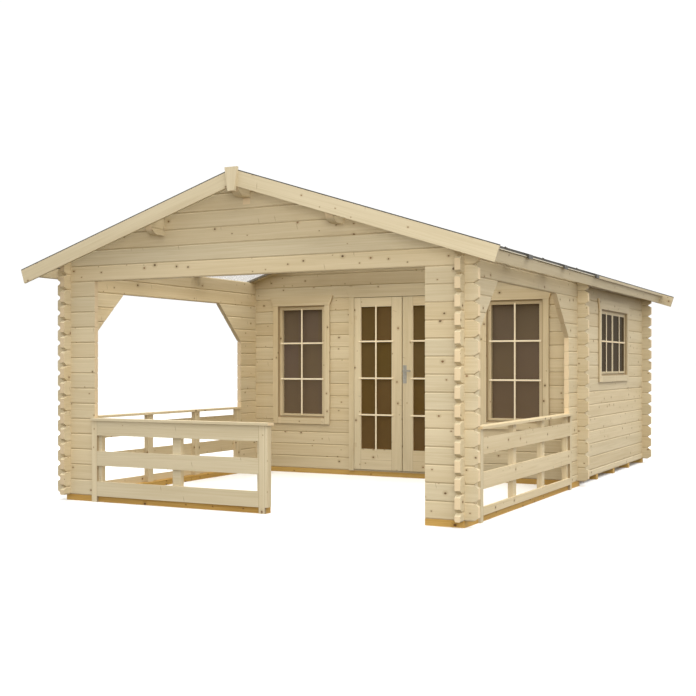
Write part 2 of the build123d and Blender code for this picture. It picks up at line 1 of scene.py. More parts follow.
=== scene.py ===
"""Dresses the log garden house: timber finishes, window bars, roof covering and hardware."""
import logging
import math
from dataclasses import dataclass, replace
from enum import Enum

import bmesh
import bpy
from mathutils import Matrix, Vector


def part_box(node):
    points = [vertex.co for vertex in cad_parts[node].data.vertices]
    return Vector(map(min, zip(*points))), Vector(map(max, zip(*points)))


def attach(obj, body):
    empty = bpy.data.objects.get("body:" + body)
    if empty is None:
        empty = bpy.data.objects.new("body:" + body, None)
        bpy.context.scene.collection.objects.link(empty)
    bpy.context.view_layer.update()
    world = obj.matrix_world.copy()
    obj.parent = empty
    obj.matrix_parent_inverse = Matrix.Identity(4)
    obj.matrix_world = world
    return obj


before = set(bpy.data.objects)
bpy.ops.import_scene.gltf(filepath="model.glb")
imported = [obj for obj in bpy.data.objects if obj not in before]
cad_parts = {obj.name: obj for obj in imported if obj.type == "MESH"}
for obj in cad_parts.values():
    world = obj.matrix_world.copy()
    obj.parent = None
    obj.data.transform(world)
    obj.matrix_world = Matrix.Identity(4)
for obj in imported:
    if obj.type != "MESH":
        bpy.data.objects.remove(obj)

LOG = logging.getLogger("garden_house")
HOUSE = "house"
FAR = 9.0
SKIN = 0.0006
# Places of a mix node's inputs, the share first, and of its mixed colour.
MIX_COLOURS = (0, 6, 7)
MIX_NUMBERS = (0, 2, 3)
MIXED_COLOUR = 2
Socket = bpy.types.NodeSocket
Number = Socket | float
Colour = tuple[float, float, float]


class Axis(Enum):
    """A direction of the building."""

    X = 0
    Y = 1
    Z = 2


class Side(Enum):
    """Left or right of the middle, seen from the veranda's front."""

    LEFT = -1
    RIGHT = 1

    @property
    def word(self) -> str:
        """First word of the names of this side's nodes."""
        return self.name.lower()


@dataclass(frozen=True)
class Band:
    """A range along one direction, in metres."""

    axis: Axis
    low: float
    high: float


@dataclass(frozen=True)
class Run:
    """Timbers that run another way than the rest of their node, inside all of the bands."""

    along: Axis
    bands: tuple[Band, ...]


@dataclass(frozen=True)
class Rows:
    """Equal timbers or panes side by side: where the first starts, their width and the joint's."""

    axis: Axis
    start: float
    pitch: float
    joint: float = 0.0


@dataclass(frozen=True)
class Seam:
    """A thin dark line on a plane across an axis, inside a band."""

    axis: Axis
    place: float
    band: Band
    width: float = 0.0018


@dataclass(frozen=True)
class Grain:
    """How the timbers of a node run; the slope, in degrees, turns the pattern about Y."""

    along: Axis
    rows: Rows | None = None
    runs: tuple[Run, ...] = ()
    seams: tuple[Seam, ...] = ()
    slope: float = 0.0
    seed: int = 0


class Graph:
    """A material's node tree, built one socket at a time."""

    def __init__(self, name: str) -> None:
        """Starts a material with nothing but its surface shader.

        Args:
            name: The material's name.
        """
        self.material = bpy.data.materials.new(name)
        self.material.use_nodes = True
        self.nodes = self.material.node_tree.nodes
        self.links = self.material.node_tree.links
        self.nodes.clear()
        self.shader = self.nodes.new("ShaderNodeBsdfPrincipled")
        output = self.nodes.new("ShaderNodeOutputMaterial")
        self.links.new(self.shader.outputs["BSDF"], output.inputs["Surface"])
        where = self.nodes.new("ShaderNodeTexCoord")
        self.spot, self.facing = where.outputs["Object"], where.outputs["Normal"]

    def feed(self, target: Socket, value: Number | Colour) -> None:
        """Links a socket to an input, or sets the input's own value.

        Args:
            target: The input.
            value: A socket, a number or a colour.
        """
        if isinstance(value, Socket):
            self.links.new(value, target)
        elif isinstance(value, tuple) and target.type == "RGBA":
            target.default_value = (*value, 1.0)
        else:
            target.default_value = value

    def surface(self, name: str, value: Number | Colour) -> None:
        """Sets one of the surface shader's inputs by name."""
        self.feed(self.shader.inputs[name], value)

    def math(self, kind: str, *numbers: Number, clamp: bool = False) -> Socket:
        """Adds a calculation on numbers.

        Args:
            kind: The calculation's name.
            numbers: What it works on.
            clamp: Whether the result stays between 0 and 1.

        Returns:
            The result.
        """
        node = self.nodes.new("ShaderNodeMath")
        node.operation = kind
        node.use_clamp = clamp
        for target, number in zip(node.inputs, numbers):
            self.feed(target, number)
        return node.outputs[0]

    def scaled(self, a: Number, factor: Number, offset: Number = 0.0) -> Socket:
        """Number times a factor plus an offset."""
        return self.math("MULTIPLY_ADD", a, factor, offset)

    def split(self, vector: Socket) -> list[Socket]:
        """Splits a vector.

        Args:
            vector: The vector.

        Returns:
            Its three parts.
        """
        node = self.nodes.new("ShaderNodeSeparateXYZ")
        self.feed(node.inputs[0], vector)
        return list(node.outputs)

    def join(self, *parts: Number) -> Socket:
        """Joins a vector.

        Args:
            parts: Its three parts.

        Returns:
            The vector.
        """
        node = self.nodes.new("ShaderNodeCombineXYZ")
        for target, part in zip(node.inputs, parts):
            self.feed(target, part)
        return node.outputs[0]

    def stretched(self, parts: list[Socket], *scales: float) -> Socket:
        """Vector whose parts are scaled one by one."""
        return self.join(*(self.math("MULTIPLY", part, scale) for part, scale in zip(parts, scales)))

    def turned(self, vector: Socket, degrees: float) -> Socket:
        """Turns a vector about Y.

        Args:
            vector: The vector.
            degrees: How far.

        Returns:
            The turned vector.
        """
        node = self.nodes.new("ShaderNodeVectorRotate")
        node.rotation_type = "Y_AXIS"
        self.feed(node.inputs["Vector"], vector)
        node.inputs["Angle"].default_value = math.radians(degrees)
        return node.outputs[0]

    def noise(self, vector: Socket, scale: float = 1.0, detail: float = 2.0,
              rough: float = 0.5) -> Socket:
        """Adds cloudy noise.

        Args:
            vector: Where it is read.
            scale: Cells a metre.
            detail: Finer layers.
            rough: Strength of the finer layers.

        Returns:
            The noise, around one half.
        """
        node = self.nodes.new("ShaderNodeTexNoise")
        self.feed(node.inputs["Vector"], vector)
        for key, value in (("Scale", scale), ("Detail", detail), ("Roughness", rough)):
            node.inputs[key].default_value = value
        return node.outputs["Fac"]

    def chance(self, number: Number) -> list[Socket]:
        """Draws even random numbers.

        Args:
            number: A whole number that they belong to.

        Returns:
            Three random numbers.
        """
        node = self.nodes.new("ShaderNodeTexWhiteNoise")
        node.noise_dimensions = "1D"
        self.feed(node.inputs["W"], number)
        return self.split(node.outputs["Color"])

    def cells(self, vector: Socket) -> tuple[Socket, list[Socket]]:
        """Scattered points on a plane.

        Args:
            vector: Where they are read, in cells.

        Returns:
            Distance to the nearest point, and three random numbers for it.
        """
        node = self.nodes.new("ShaderNodeTexVoronoi")
        node.voronoi_dimensions = "2D"
        self.feed(node.inputs["Vector"], vector)
        node.inputs["Scale"].default_value = 1.0
        return node.outputs["Distance"], self.split(node.outputs["Color"])

    def blend(self, share: Number, a: Socket | Colour, b: Socket | Colour,
              kind: str = "MIX") -> Socket:
        """Colour between two others.

        Args:
            share: How much of the second one.
            a: First colour.
            b: Second colour.
            kind: Way of blending.

        Returns:
            The colour.
        """
        node = self.nodes.new("ShaderNodeMix")
        node.data_type = "RGBA"
        node.blend_type = kind
        for place, value in zip(MIX_COLOURS, (share, a, b)):
            self.feed(node.inputs[place], value)
        return node.outputs[MIXED_COLOUR]

    def between(self, share: Number, a: Number, b: Number) -> Socket:
        """Number between two others.

        Args:
            share: How much of the second one.
            a: First number.
            b: Second number.

        Returns:
            The number.
        """
        node = self.nodes.new("ShaderNodeMix")
        for place, value in zip(MIX_NUMBERS, (share, a, b)):
            self.feed(node.inputs[place], value)
        return node.outputs[0]

    def rise(self, value: Socket, low: Number, high: Number) -> Socket:
        """Smooth rise from 0 to 1.

        Args:
            value: What rises.
            low: Where the result is 0.
            high: Where the result is 1.

        Returns:
            The result.
        """
        node = self.nodes.new("ShaderNodeMapRange")
        node.interpolation_type = "SMOOTHSTEP"
        for key, number in (("Value", value), ("From Min", low), ("From Max", high)):
            self.feed(node.inputs[key], number)
        return node.outputs[0]

    def fall(self, value: Socket, low: Number, high: Number) -> Socket:
        """Smooth fall from 1 at the low value to 0 at the high one."""
        return self.math("SUBTRACT", 1.0, self.rise(value, low, high))

    def inside(self, place: list[Socket], bands: tuple[Band, ...]) -> Socket:
        """1 inside all of the bands, 0 outside.

        Args:
            place: Position in X, Y and Z.
            bands: The bands.

        Returns:
            The mask.
        """
        tests = [self.math("COMPARE", place[band.axis.value], (band.low + band.high) / 2,
                           (band.high - band.low) / 2) for band in bands]
        mask = tests[0]
        for test in tests[1:]:
            mask = self.math("MULTIPLY", mask, test)
        return mask

    def step(self, place: list[Socket], rows: Rows) -> Socket:
        """Position counted in timbers or panes from the first one's start."""
        return self.scaled(place[rows.axis.value], 1 / rows.pitch, -rows.start / rows.pitch)

    def emboss(self, height: Socket, depth: float, strength: float) -> None:
        """Gives the surface a fine relief.

        Args:
            height: Relief between 0 and 1.
            depth: Its depth in metres.
            strength: How strongly it shows.
        """
        node = self.nodes.new("ShaderNodeBump")
        node.inputs["Strength"].default_value = strength
        node.inputs["Distance"].default_value = depth
        self.feed(node.inputs["Height"], height)
        self.surface("Normal", node.outputs[0])


@dataclass(frozen=True)
class Timber:
    """Planed timber with fine grain, scattered knots, thin streaks and end grain."""

    light: Colour = (0.650, 0.560, 0.380)
    dark: Colour = (0.545, 0.455, 0.285)
    warm: Colour = (1.0, 0.955, 0.885)
    halo: Colour = (0.36, 0.25, 0.125)
    knot: Colour = (0.085, 0.050, 0.022)
    red_knot: Colour = (0.21, 0.105, 0.045)
    joint: Colour = (0.25, 0.165, 0.080)
    end: Colour = (0.76, 0.585, 0.360)
    knot_cell: float = 0.122
    knot_share: tuple[float, float] = (0.12, 0.70)
    knot_size: tuple[float, float] = (0.0035, 0.0115)
    streak_cell: tuple[float, float] = (0.030, 0.300)
    streak_share: float = 0.035
    ring: float = 0.0055
    roughness: float = 0.62
    rough_spread: tuple[float, float] = (-0.08, 0.1)
    gloss: float = 0.25
    relief: tuple[float, float] = (0.0012, 0.2)
    knot_relief: float = 0.4
    run_step: float = 5.0
    seed_step: float = 17.0
    long_shift: float = 41.0
    row_shift: float = 3.7
    seed_shift: float = 1.9
    edge_shift: float = 5.3
    edge_turn: float = 0.6
    end_turn: tuple[float, float] = (0.6, 0.8)
    fine_stretch: tuple[float, float, float] = (1.7, 75.0, 75.0)
    fine_layers: tuple[float, float] = (3.0, 0.6)
    broad_stretch: tuple[float, float, float] = (0.8, 10.0, 10.0)
    tone_shares: tuple[float, float, float] = (0.55, 0.6, 0.14)
    tone_range: tuple[float, float] = (0.36, 0.96)
    shade_range: tuple[float, float] = (0.95, 1.04)
    end_shares: tuple[float, float] = (0.35, 0.5)
    halo_bend: float = 0.012
    halo_shade: float = 0.32
    halo_reach: float = 2.8
    knot_shade: float = 0.93
    knot_stretch: float = 0.8
    knot_curve: float = 1.8
    knot_core: float = 0.6
    ragged: float = 0.005
    ragged_scale: float = 160.0
    streak_lean: tuple[float, float] = (0.004, 0.25)
    streak_width: tuple[float, float] = (0.03, 0.11)
    streak_shade: float = 0.6
    heart: tuple[float, float] = (0.09, 0.06)
    ring_wander: float = 0.03
    joint_core: float = 0.4
    joint_shade: float = 0.45
    seam_shade: float = 0.72

    def material(self, name: str, grain: Grain) -> bpy.types.Material:
        """Builds the finish for timbers that run in given ways.

        Args:
            name: The material's name.
            grain: How the timbers run.

        Returns:
            The material.
        """
        g = Graph(name)
        spot, facing = g.spot, g.facing
        if grain.slope:
            spot, facing = g.turned(spot, grain.slope), g.turned(facing, grain.slope)
        place = g.split(spot)
        (long, wide, deep, end_on, edge_on), member = self._lie(g, grain, place, g.split(facing))
        row, joint = self._rows(g, grain, place)
        luck = g.chance(g.scaled(member, self.run_step, g.math("ADD", row, grain.seed * self.seed_step)))
        long = g.scaled(luck[0], self.long_shift, long)
        wide = g.scaled(row, self.row_shift, g.math("ADD", wide, grain.seed * self.seed_shift))
        on_edge = g.math("GREATER_THAN", edge_on, self.edge_turn)
        across = g.between(on_edge, wide, g.math("ADD", deep, self.edge_shift))
        cut = g.rise(end_on, *self.end_turn)
        knot, halo, red = self._knots(g, long, across, luck[2], cut)
        bent = [long, g.scaled(halo, self.halo_bend, wide), deep]
        fine = g.noise(g.stretched(bent, *self.fine_stretch), 1.0, *self.fine_layers)
        broad = g.noise(g.stretched(bent, *self.broad_stretch))
        rings = self._rings(g, broad, bent[1], deep)
        fine_share, broad_share, ring_share = self.tone_shares
        tone = g.scaled(fine, fine_share, g.math("MULTIPLY", broad, broad_share))
        tone = g.rise(g.scaled(rings, ring_share, tone), *self.tone_range)
        colour = self._tint(g, g.blend(tone, self.light, self.dark), luck)
        colour = g.blend(g.math("MULTIPLY", cut, g.scaled(rings, *self.end_shares)), colour, self.end)
        colour = g.blend(g.math("MULTIPLY", halo, self.halo_shade), colour, self.halo)
        core = g.blend(red, self.knot, self.red_knot)
        colour = g.blend(g.math("MULTIPLY", knot, self.knot_shade), colour, core)
        dark = self._lines(g, grain, place, joint)
        if dark is not None:
            colour = g.blend(dark, colour, self.joint)
        g.surface("Base Color", colour)
        g.surface("Roughness", g.between(fine, *(self.roughness + part for part in self.rough_spread)))
        g.surface("Specular IOR Level", self.gloss)
        g.emboss(g.math("SUBTRACT", fine, g.math("MULTIPLY", knot, self.knot_relief)), *self.relief)
        return g.material

    def _lie(self, g: Graph, grain: Grain, place: list[Socket],
             facing: list[Socket]) -> tuple[list[Socket], Number]:
        """Sorts directions into along a timber, across its face and through it.

        Args:
            g: The material's graph.
            grain: How the timbers run.
            place: Position in X, Y and Z.
            facing: The surface's normal.

        Returns:
            Position along, across and through, the normal's size along and across, and a
            number for the run.
        """
        turn = [g.math("ABSOLUTE", part) for part in facing]
        member = 0.0
        lie = self._sorted(place, turn, grain.along, grain.along)
        for number, run in enumerate(grain.runs, 1):
            mask = g.inside(place, run.bands)
            other = self._sorted(place, turn, run.along, grain.along)
            lie = [g.between(mask, a, b) for a, b in zip(lie, other)]
            member = g.scaled(mask, float(number), member)
        return lie, member

    def _sorted(self, place: list[Socket], turn: list[Socket], along: Axis,
                base: Axis) -> list[Socket]:
        """Puts the parts of place and normal in a timber's order.

        Args:
            place: Position in X, Y and Z.
            turn: Size of the normal's parts.
            along: Direction of the timber.
            base: Direction of most of the node's timbers.

        Returns:
            Position along, across and through, and the normal's size along and across.
        """
        if along is Axis.Z:
            wide = 0 if base is Axis.Z else base.value
        else:
            wide = Axis.Z.value
        deep = 3 - along.value - wide
        return [place[along.value], place[wide], place[deep], turn[along.value], turn[wide]]

    def _rows(self, g: Graph, grain: Grain, place: list[Socket]) -> tuple[Number, Socket | None]:
        """Number of the timber in its row, and distance to its nearer joint.

        Args:
            g: The material's graph.
            grain: How the timbers run.
            place: Position in X, Y and Z.

        Returns:
            The timber's number, and the distance in metres if there are rows.
        """
        if grain.rows is None:
            return 0.0, None
        count = g.step(place, grain.rows)
        gap = g.math("PINGPONG", count, 0.5)
        return g.math("FLOOR", count), g.math("MULTIPLY", gap, grain.rows.pitch)

    def _tint(self, g: Graph, colour: Socket, luck: list[Socket]) -> Socket:
        """Gives each timber a slightly different tone.

        Args:
            g: The material's graph.
            colour: The grain's colour.
            luck: The timber's random numbers.

        Returns:
            The colour.
        """
        colour = g.blend(luck[1], colour, g.blend(1.0, colour, self.warm, "MULTIPLY"))
        shade = g.between(luck[2], *self.shade_range)
        return g.blend(1.0, colour, g.join(shade, shade, shade), "MULTIPLY")

    def _knots(self, g: Graph, long: Socket, wide: Socket, luck: Socket,
               cut: Socket) -> tuple[Socket, Socket, Socket]:
        """Round knots with the bent grain around them, and thin streaks across the timber.

        Args:
            g: The material's graph.
            long: Position along the timber.
            wide: Position across the face that shows.
            luck: The timber's random number, for how knotty it is.
            cut: 1 on end grain, which has none.

        Returns:
            Strength of the knots and of the grain around them, and how red they are.
        """
        face = g.math("SUBTRACT", 1.0, cut)
        away, odds = g.cells(g.stretched([long, wide], self.knot_stretch / self.knot_cell,
                                          1 / self.knot_cell))
        ragged = g.noise(g.join(long, wide, 0.0), self.ragged_scale)
        away = g.scaled(away, self.knot_cell, g.scaled(ragged, self.ragged, -self.ragged / 2))
        size = g.between(g.math("POWER", odds[1], self.knot_curve), *self.knot_size)
        there = g.math("LESS_THAN", odds[0], g.between(luck, *self.knot_share))
        there = g.math("MULTIPLY", there, face)
        core = g.math("MULTIPLY", there, g.fall(away, g.math("MULTIPLY", size, self.knot_core), size))
        around = g.math("MULTIPLY", there, g.fall(away, size, g.math("MULTIPLY", size, self.halo_reach)))
        uneven, slant = self.streak_lean
        lean = g.scaled(ragged, uneven, g.scaled(wide, slant, long))
        thin, odds_two = g.cells(g.stretched([lean, wide], *(1 / cell for cell in self.streak_cell)))
        streak = g.math("MULTIPLY", g.math("LESS_THAN", odds_two[0], self.streak_share), face)
        streak = g.math("MULTIPLY", streak, g.fall(thin, *self.streak_width))
        return g.math("MAXIMUM", core, g.math("MULTIPLY", streak, self.streak_shade)), around, odds[2]

    def _rings(self, g: Graph, broad: Socket, wide: Socket, deep: Socket) -> Socket:
        """Growth rings, as stripes on a face and arcs on an end.

        Args:
            g: The material's graph.
            broad: Noise that bends them.
            wide: Position across the timber.
            deep: Position through the timber.

        Returns:
            The rings, between 0 and 1.
        """
        half_wide, half_deep = self.heart
        out = g.math("PINGPONG", wide, half_wide)
        back = g.math("PINGPONG", g.math("ADD", deep, FAR), half_deep)
        reach = g.math("SQRT", g.scaled(out, out, g.math("MULTIPLY", back, back)))
        reach = g.scaled(broad, self.ring_wander, reach)
        wave = g.math("SINE", g.math("MULTIPLY", reach, math.tau / self.ring))
        return g.scaled(wave, 0.5, 0.5)

    def _lines(self, g: Graph, grain: Grain, place: list[Socket],
               joint: Socket | None) -> Socket | None:
        """Dark lines at the joints of timbers.

        Args:
            g: The material's graph.
            grain: How the timbers run.
            place: Position in X, Y and Z.
            joint: Distance to the nearest joint of a row.

        Returns:
            Strength of the lines, if there are any.
        """
        dark = None
        if joint is not None:
            width = grain.rows.joint
            dark = g.math("MULTIPLY", g.fall(joint, width * self.joint_core, width), self.joint_shade)
        for seam in grain.seams:
            away = g.math("ABSOLUTE", g.math("SUBTRACT", place[seam.axis.value], seam.place))
            line = g.math("MULTIPLY", g.fall(away, seam.width / 3, seam.width), g.inside(place, (seam.band,)))
            line = g.math("MULTIPLY", line, self.seam_shade)
            dark = line if dark is None else g.math("MAXIMUM", dark, line)
        return dark


@dataclass(frozen=True)
class Pane:
    """Nearly opaque window glass whose brown tones are painted shade, standing in for the dark room behind
    it; the panes turn greyer towards the top.
    """

    brown: Colour
    grey: Colour
    olive: Colour
    fade: float
    opacity: float = 0.82
    bend: float = 1.2
    gloss: float = 0.15
    column_step: float = 7.0
    cloud_scale: float = 2.2
    fade_rows: int = 3
    luck_share: float = 0.45
    cloud_share: float = 0.2
    olive_share: float = 0.6
    roughness: tuple[float, float] = (0.03, 0.08)
    wave: tuple[float, float] = (3.5, 1.0)
    relief: tuple[float, float] = (0.002, 0.05)

    def material(self, name: str, columns: Rows, rows: Rows) -> bpy.types.Material:
        """Builds glass whose tone differs a little from pane to pane.

        Args:
            name: The material's name.
            columns: Panes side by side.
            rows: Panes above each other.

        Returns:
            The material.
        """
        g = Graph(name)
        place = g.split(g.spot)
        column = g.math("FLOOR", g.step(place, columns))
        row = g.math("FLOOR", g.step(place, rows))
        luck = g.chance(g.scaled(column, self.column_step, row))
        cloud = g.noise(g.spot, self.cloud_scale)
        upper = g.rise(place[rows.axis.value], rows.start, rows.start + self.fade_rows * rows.pitch)
        tone = g.scaled(upper, self.fade, g.math("MULTIPLY", cloud, self.cloud_share))
        tone = g.scaled(luck[0], self.luck_share, tone)
        colour = g.blend(tone, self.brown, self.grey)
        colour = g.blend(g.math("MULTIPLY", luck[1], self.olive_share), colour, self.olive)
        g.surface("Base Color", colour)
        g.surface("Roughness", g.between(cloud, *self.roughness))
        g.surface("IOR", self.bend)
        g.surface("Specular IOR Level", self.gloss)
        g.surface("Alpha", self.opacity)
        g.emboss(g.noise(g.spot, *self.wave), *self.relief)
        return g.material


@dataclass(frozen=True)
class ClearSheet:
    """Twin-wall roof sheet with ribs that run down the slope."""

    clear: Colour = (0.84, 0.87, 0.88)
    rib: Colour = (0.95, 0.96, 0.96)
    rib_pitch: float = 0.012
    rib_edge: tuple[float, float] = (0.06, 0.16)
    haze_stretch: tuple[float, float, float] = (3.0, 9.0, 3.0)
    haze_layers: float = 3.0
    roughness: tuple[float, float] = (0.08, 0.22)
    haze: tuple[float, float] = (0.12, 0.24)
    rib_haze: float = 0.5
    gloss: float = 0.4
    relief: tuple[float, float] = (0.001, 0.25)

    def material(self, name: str) -> bpy.types.Material:
        """Builds the finish.

        Args:
            name: The material's name.

        Returns:
            The material.
        """
        g = Graph(name)
        place = g.split(g.spot)
        near = g.math("PINGPONG", g.math("MULTIPLY", place[1], 1 / self.rib_pitch), 0.5)
        wall = g.fall(near, *self.rib_edge)
        haze = g.noise(g.stretched(place, *self.haze_stretch), 1.0, self.haze_layers)
        g.surface("Base Color", g.blend(wall, self.clear, self.rib))
        g.surface("Roughness", g.between(haze, *self.roughness))
        g.surface("Alpha", g.between(wall, g.between(haze, *self.haze), self.rib_haze))
        g.surface("Specular IOR Level", self.gloss)
        g.emboss(near, *self.relief)
        return g.material


@dataclass(frozen=True)
class MineralFelt:
    """Bitumen felt with slate granules."""

    dark: Colour = (0.028, 0.029, 0.030)
    pale: Colour = (0.125, 0.125, 0.126)
    grit: tuple[float, float, float] = (420.0, 2.0, 0.7)
    patch: tuple[float, float, float] = (3.0, 4.0, 0.6)
    grit_range: tuple[float, float] = (0.42, 0.75)
    grit_share: float = 0.7
    patch_shares: tuple[float, float] = (0.5, -0.15)
    roughness: tuple[float, float] = (0.82, 0.97)
    gloss: float = 0.2
    patch_relief: float = 1.5
    relief: tuple[float, float] = (0.0015, 0.5)

    def material(self, name: str) -> bpy.types.Material:
        """Builds the finish.

        Args:
            name: The material's name.

        Returns:
            The material.
        """
        g = Graph(name)
        grit = g.noise(g.spot, *self.grit)
        patch = g.noise(g.spot, *self.patch)
        tone = g.scaled(g.rise(grit, *self.grit_range), self.grit_share, g.scaled(patch, *self.patch_shares))
        g.surface("Base Color", g.blend(tone, self.dark, self.pale))
        g.surface("Roughness", g.between(patch, *self.roughness))
        g.surface("Specular IOR Level", self.gloss)
        g.emboss(g.scaled(patch, self.patch_relief, grit), *self.relief)
        return g.material


@dataclass(frozen=True)
class Metal:
    """Metal with a fine brushed or powder-coated surface."""

    colour: Colour
    worn: Colour
    metallic: float
    roughness: float
    stretch: tuple[float, float, float] = (40.0, 40.0, 900.0)
    # Colour of the painted highlight on an edge.
    edge: Colour = (0.62, 0.55, 0.40)
    patch: tuple[float, float] = (18.0, 3.0)
    worn_range: tuple[float, float] = (0.35, 0.75)
    rough_spread: tuple[float, float] = (-0.08, 0.1)
    relief: tuple[float, float] = (0.0004, 0.15)

    def material(self, name: str, pale: tuple[Band, ...] = ()) -> bpy.types.Material:
        """Builds the finish.

        Args:
            name: The material's name.
            pale: Bands, on both sides of the middle, where an edge gets a painted highlight: a pale tone that
                stands in for a lit edge.

        Returns:
            The material.
        """
        g = Graph(name)
        place = g.split(g.spot)
        brushed = g.noise(g.stretched(place, *self.stretch))
        patch = g.noise(g.spot, *self.patch)
        colour = g.blend(g.rise(patch, *self.worn_range), self.colour, self.worn)
        if pale:
            place = [g.math("ABSOLUTE", part) for part in place]
            # Painted highlight: the pale edge colour inside the bands.
            colour = g.blend(g.inside(place, pale), colour, self.edge)
        g.surface("Base Color", colour)
        g.surface("Metallic", self.metallic)
        g.surface("Roughness", g.between(brushed, *(self.roughness + part for part in self.rough_spread)))
        g.emboss(brushed, *self.relief)
        return g.material


SPRUCE = Timber()
PALE_SPRUCE = replace(SPRUCE, light=(0.86, 0.77, 0.58), dark=(0.76, 0.66, 0.47),
                      knot_share=(0.0, 0.04), streak_share=0.0)
PLAIN_END = replace(SPRUCE, end=(0.47, 0.39, 0.26))
# Painted shade: a darker copy of the spruce, which makes the rear bargeboards and the felt laths as dark as
# the shaded eave board.
SHADE_PAINTED_SPRUCE = replace(PLAIN_END, light=(0.55, 0.475, 0.325), dark=(0.46, 0.385, 0.245))
# Painted shade: end grain painted darker, for the log ends on the left where less light falls.
SHADE_PAINTED_LEFT_END = replace(SPRUCE, end=(0.60, 0.46, 0.29))
IMPREGNATED = Timber(light=(0.60, 0.40, 0.125), dark=(0.41, 0.235, 0.055), warm=(1.0, 0.92, 0.8),
                     halo=(0.26, 0.13, 0.03), knot=(0.045, 0.022, 0.010), joint=(0.1, 0.05, 0.02),
                     red_knot=(0.12, 0.05, 0.015), end=(0.52, 0.33, 0.11), knot_cell=0.11,
                     knot_share=(0.4, 0.6), knot_size=(0.005, 0.013), roughness=0.72)
# Painted shade: the panes' brown, grey and olive tones stand in for the dark rooms seen through the glass.
WINDOW_PANE = Pane((0.170, 0.116, 0.066), (0.150, 0.110, 0.083), (0.152, 0.116, 0.061), 0.6)
SIDE_PANE = Pane((0.072, 0.048, 0.024), (0.064, 0.047, 0.031), (0.066, 0.050, 0.023), 0.3, 0.94, 1.06, 0.1)
DOOR_PANE = Pane((0.145, 0.076, 0.022), (0.150, 0.104, 0.052), (0.108, 0.076, 0.015), 0.1)
SATIN_STEEL = Metal((0.41, 0.40, 0.36), (0.33, 0.32, 0.28), 0.7, 0.42)
YELLOW_ZINC = Metal((0.60, 0.50, 0.32), (0.52, 0.42, 0.26), 0.35, 0.45)
DARK_BAR = Metal((0.040, 0.036, 0.028), (0.065, 0.060, 0.048), 0.0, 0.45, (60.0, 60.0, 60.0))


class Joinery:
    """Collects small pieces into one mesh."""

    def __init__(self) -> None:
        """Starts with nothing."""
        self.mesh = bmesh.new()

    def timber(self, low: Vector, high: Vector, ease: float, place: Matrix | None = None) -> None:
        """Adds a straight timber whose edges are rounded.

        Args:
            low: Lowest corner.
            high: Highest corner.
            ease: Radius of the edges.
            place: Where it goes, if not where it was drawn.
        """
        piece = bmesh.new()
        bmesh.ops.create_cube(piece, size=1.0)
        bmesh.ops.scale(piece, vec=high - low, verts=piece.verts)
        bmesh.ops.translate(piece, vec=(low + high) / 2, verts=piece.verts)
        bmesh.ops.bevel(piece, geom=piece.edges[:], offset=ease, segments=2, profile=0.5,
                        affect="EDGES")
        self._take(piece, place)

    def turning(self, profile: tuple[tuple[float, float], ...], sides: int, place: Matrix) -> None:
        """Adds a round piece, closed at both ends.

        Args:
            profile: Radius and height of each ring, from the foot up.
            sides: Points around a ring.
            place: Where it goes; its height points along Z there.
        """
        piece = bmesh.new()
        rings = []
        for radius, height in profile:
            turn = [math.tau * k / sides for k in range(sides)]
            rings.append([piece.verts.new((radius * math.cos(a), radius * math.sin(a), height))
                          for a in turn])
        for lower, upper in zip(rings, rings[1:]):
            for k in range(sides):
                n = (k + 1) % sides
                piece.faces.new((lower[k], lower[n], upper[n], upper[k]))
        piece.faces.new(rings[0][::-1])
        piece.faces.new(rings[-1])
        self._take(piece, place)

    def ribbon(self, sections: list[list[Vector]]) -> None:
        """Adds a long piece through closed outlines of as many points each.

        Args:
            sections: The outlines, one after another.
        """
        piece = bmesh.new()
        loops = [[piece.verts.new(point) for point in section] for section in sections]
        for near, far in zip(loops, loops[1:]):
            for k in range(len(near)):
                n = (k + 1) % len(near)
                piece.faces.new((near[k], near[n], far[n], far[k]))
        piece.faces.new(loops[0])
        piece.faces.new(loops[-1])
        bmesh.ops.recalc_face_normals(piece, faces=piece.faces)
        self._take(piece, None)

    def _take(self, piece: bmesh.types.BMesh, place: Matrix | None) -> None:
        """Moves a finished piece into the collection.

        Args:
            piece: The piece.
            place: Where it goes, if not where it was drawn.
        """
        if place is not None:
            piece.transform(place)
        data = bpy.data.meshes.new("piece")
        piece.to_mesh(data)
        piece.free()
        self.mesh.from_mesh(data)
        bpy.data.meshes.remove(data)

    def finish(self, name: str, material: bpy.types.Material, body: str, slot: str) -> None:
        """Turns the collection into one object of the scene.

        Args:
            name: The object's name.
            material: Its finish.
            body: The body that it rides on.
            slot: The record's material slot; not used.
        """
        data = bpy.data.meshes.new(name)
        self.mesh.to_mesh(data)
        self.mesh.free()
        data.materials.append(material)
        piece = bpy.data.objects.new(name, data)
        bpy.context.scene.collection.objects.link(piece)
        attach(piece, body)
        LOG.info("made %s: %d faces", name, len(data.polygons))


def dress(material: bpy.types.Material, *nodes: str) -> None:
    """Gives CAD nodes a finish.

    Args:
        material: The finish.
        nodes: Names of the nodes.
    """
    for name in nodes:
        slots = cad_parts[name].data.materials
        slots.clear()
        slots.append(material)
        LOG.info("dressed %s with %s", name, material.name)


def dress_timber(node: str, grain: Grain, finish: Timber = SPRUCE) -> None:
    """Gives a CAD node a timber finish of its own.

    Args:
        node: Name of the node.
        grain: How its timbers run.
        finish: The kind of timber.
    """
    dress(finish.material("timber_" + node, grain), node)


def uprights(axis: Axis, ranges: tuple[tuple[float, float], ...], heights: Band) -> tuple[Run, ...]:
    """Runs of upright timbers in ranges across an axis.

    Args:
        axis: The axis.
        ranges: Lowest and highest place of each.
        heights: Where they are upright.

    Returns:
        The runs.
    """
    return tuple(Run(Axis.Z, (Band(axis, low, high), heights)) for low, high in ranges)


